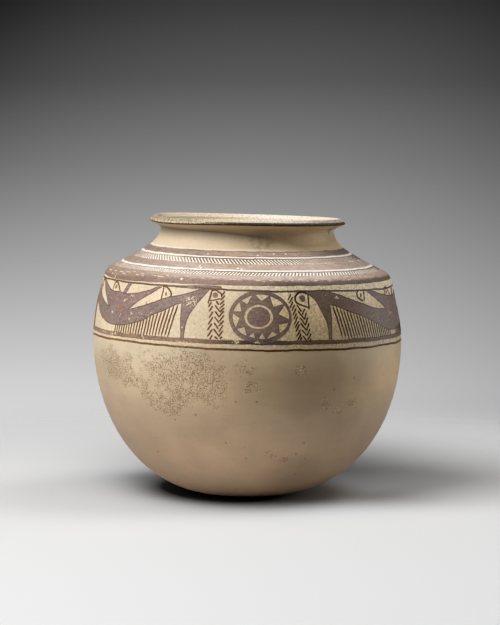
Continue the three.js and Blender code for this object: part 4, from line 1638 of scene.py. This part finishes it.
def backdrop():
    """A graduated grey behind the jar for the viewer, and soft light from all round for the rest."""
    world = bpy.data.worlds.new("backdrop")
    world.use_nodes = True
    world.node_tree.nodes.clear()
    nodes = Nodes(world.node_tree)
    ray = nodes.split(nodes.add("ShaderNodeTexCoord")["Generated"])
    lowest = BACKDROP[-1][0]
    highest = BACKDROP[0][0]
    elevation = nodes.times(nodes.math("ARCSINE", ray[2]), 180 / math.pi)
    share = nodes.spread(elevation, lowest, highest, smooth=False)
    ramp = nodes.add("ShaderNodeValToRGB", {0: share})[0]
    stops = ramp.node.color_ramp.elements
    for degrees, grey in BACKDROP[1:-1]:
        stops.new((degrees - lowest) / (highest - lowest))
    for stop, (degrees, grey) in zip(stops, reversed(BACKDROP)):
        stop.position = (degrees - lowest) / (highest - lowest)
        stop.color = (grey, grey, grey, 1)
    aside = nodes.over(ray[0], BACKDROP_HALF)
    aside = nodes.greater(nodes.lesser(aside, BACKDROP_REACH), -BACKDROP_REACH)
    share_squared = nodes.times(share, share)
    lean = nodes.times_plus(share_squared, *BACKDROP_LEAN)
    dome = nodes.times_plus(share_squared, *BACKDROP_DOME)
    sideways = nodes.times_plus(nodes.times(aside, aside), dome, 1.0)
    sideways = nodes.times_plus(aside, lean, sideways)
    seen = nodes.add("ShaderNodeBackground", {"Color": ramp, "Strength": sideways})[0]
    around = nodes.add("ShaderNodeBackground", {"Color": (1, 1, 1, 1), "Strength": AMBIENT})[0]
    viewed = looking(nodes)
    nodes.add("ShaderNodeOutputWorld", {
        "Surface": nodes.add("ShaderNodeMixShader", {0: viewed, 1: around, 2: seen})[0],
    })
    bpy.context.scene.world = world


# Soft lights: name, azimuth right of the viewer and elevation in degrees, width, height, watts
LIGHT_REACH = 2.2
LIGHT_AIM = Vector((0, 0, 0.13))
LIGHTS = [
    ("key", -55, 44, 1.9, 1.9, 61.0),
    ("right_card", 109, 3, 1.1, 1.1, 15.0),
    ("right_top", 100, 60, 1.1, 1.1, 14.0),
]
SHEEN_LIGHT = ("sheen", 180, 62, 1.6, 1.0, 44.0)


def softbox(name, azimuth, elevation, wide, high, watts):
    lamp = bpy.data.lights.new(name, "AREA")
    lamp.shape = "RECTANGLE"
    lamp.size = wide
    lamp.size_y = high
    lamp.energy = watts
    box = bpy.data.objects.new(name, lamp)
    turn = math.radians(azimuth)
    rise = math.radians(elevation)
    way = Vector((math.cos(rise) * math.sin(turn), -math.cos(rise) * math.cos(turn), math.sin(rise)))
    box.location = LIGHT_AIM + way * LIGHT_REACH
    box.rotation_euler = way.to_track_quat("Z", "Y").to_euler()
    bpy.context.scene.collection.objects.link(box)
    return box


# Building

WALL_CURVE = profile_curve()
WRAP = wrap_tree()
RING = ring_tree()
FIGURES = figure_tree()
STROKES = stroke_tree()

body_clay = burnished_clay()
neck_clay = sooted_and_shaded_clay()
figure_paint = brown_paint(
    "thin figure paint", THIN_PAINT, sides=(1.44, 0.94), turning=FIGURE_TURNING,
    shine=0.18, chips=FRIEZE_CHIPS, chipping=0.21, left_tint=COOL_TINT,
)
edge_paint = brown_paint(
    "gathered figure paint", EDGE_BROWN, sides=(1.42, 0.94), turning=FIGURE_TURNING,
    shine=0.15, chips=FRIEZE_CHIPS, chipping=0.16,
)
band_paint = brown_paint(
    "thick band paint", BAND_BROWN, sides=(2.2, 0.85), turning=NEAR_TURNING,
    shine=0.15, chips=FRIEZE_CHIPS, chipping=0.22,
)
line_paint = brown_paint(
    "dark line paint", LINE_PAINT, sides=(3.0, 1.05), turning=LINE_TURNING, shine=0.08
)
sheened_line_paint = brown_paint(
    "worn line paint", LINE_PAINT, sides=(3.8, 1.05), turning=LINE_TURNING,
    shine=0.08, left_tint=LEFT_SHEEN_TINT,
)
hatch_paint = brown_paint(
    "hatch paint", HATCH_PAINT, sides=(2.2, 1.0), turning=END_TURNING,
    shine=0.35, left_tint=LEFT_SHEEN_TINT,
)
shoulder_paint = brown_paint(
    "rubbed shoulder paint", THICK_PAINT, sides=(2.2, 1.0), turning=FAR_TURNING,
    shine=0.35, chips=SHOULDER_CHIPS, chipping=0.33, rubbing_and_sheen=0.85,
)

# Sections from the foot to the lip, and the heights of the joints between them
SECTIONS = [
    ("base_bowl", "tan_clay", body_clay),
    ("belly_wall", "buff_clay", body_clay),
    ("frieze_wall", "painted_clay", body_clay),
    ("shoulder", "painted_clay", body_clay),
    ("neck", "cream_clay", neck_clay),
    ("rim", "cream_clay", neck_clay),
]
JOINT_HEIGHTS = [BOWL_JOINT_HEIGHT, BELLY_JOINT_HEIGHT, FRIEZE_JOINT_HEIGHT, NECK_FOOT_HEIGHT, THROAT_HEIGHT]
joints = [None, *map(climb_at_height, JOINT_HEIGHTS), None]
for (node_name, clay_slot, clay), lower_joint, upper_joint in zip(SECTIONS, joints, joints[1:]):
    clay_section(node_name, clay, lower_joint, upper_joint)

painted_band("frieze_foot_band", *FRIEZE_FOOT_BAND, band_paint)
for band_name, lower_edge, upper_edge in SHOULDER_BANDS:
    painted_band(band_name, lower_edge, upper_edge, shoulder_paint, SHOULDER_DRIFT)
for band_name, lower_edge, upper_edge in SHOULDER_LINES:
    painted_band(band_name, lower_edge, upper_edge, hatch_paint, SHOULDER_DRIFT, STROKE_PROUD)
lip_line(lip_paint())
painted_lines("belly_line", [BELLY_LINE], sheened_line_paint)
painted_lines("frieze_top_line", [FRIEZE_TOP_LINE], edge_paint)
second_pass = Drawing()
second_pass.paint(drawn(SECOND_PASS)[:-1])
painted_figures("second_pass", second_pass, figure_paint)
painted_lines("shoulder_sag", [SHOULDER_SAG], shoulder_paint)
painted_lines("hatch_remains", [HATCH_REMAINS], shoulder_paint, SHOULDER_DRIFT)
lower_lines = hatching(*LOWER_HATCH_EDGES, LOWER_HATCH)
painted_strokes(
    "lower_hatching", lower_lines, hatch_paint, width=0.0018, unevenness=0.10, seed=3, drift=SHOULDER_DRIFT
)
upper_lines = hatching(*UPPER_HATCH_EDGES, UPPER_HATCH, WORN_HATCH)
painted_strokes(
    "upper_hatching", upper_lines, hatch_paint, width=0.0019, unevenness=0.10, seed=5, drift=SHOULDER_DRIFT
)
faint_from, faint_to = FAINT_HATCH
unworn_lines = hatching(*UPPER_HATCH_EDGES, UPPER_HATCH)
faint_lines = [line for line in unworn_lines if faint_from < line[0][0] < faint_to]
painted_strokes(
    "faint_hatching", faint_lines, shoulder_paint, width=0.0031, unevenness=0.06, seed=6, drift=SHOULDER_DRIFT
)

suns = Drawing()
figure_lines = Drawing()
figure_edges = Drawing()
feathers = []
for sun_shift in SUN_SHIFTS:
    sun(suns, figure_edges, sun_shift)
    column_heads(suns, figure_lines, sun_shift)
    feathers += column_feathers(sun_shift)
painted_figures("suns", suns, figure_paint)
painted_strokes("column_feathers", feathers, line_paint, width=0.0015, unevenness=0.06, seed=7)

birds = Drawing()
combs = []
for bird_middle, *wings in BIRDS:
    for wing_side, (wing_shape, wing_stretch) in zip((-1, 1), wings):
        lay = wing_place(bird_middle, wing_side, wing_stretch)
        wing(birds, figure_lines, figure_edges, wing_shape, lay)
        combs += wing_comb(wing_shape, lay)
    bird_head(birds, figure_lines, bird_middle)
painted_figures("birds", birds, figure_paint)
painted_figures("figure_lines", figure_lines, line_paint, proud=LINE_PROUD)
painted_figures("figure_edges", figure_edges, edge_paint, proud=STROKE_PROUD)
painted_strokes("wing_combs", combs, line_paint, width=0.0016, unevenness=0.05, seed=11)

floor()
backdrop()
for light in LIGHTS:
    softbox(*light)
# The lamp above and behind shows only as a sheen on the burnished shoulder
softbox(*SHEEN_LIGHT).visible_diffuse = False
camera()
bpy.context.scene.view_settings.view_transform = "Standard"
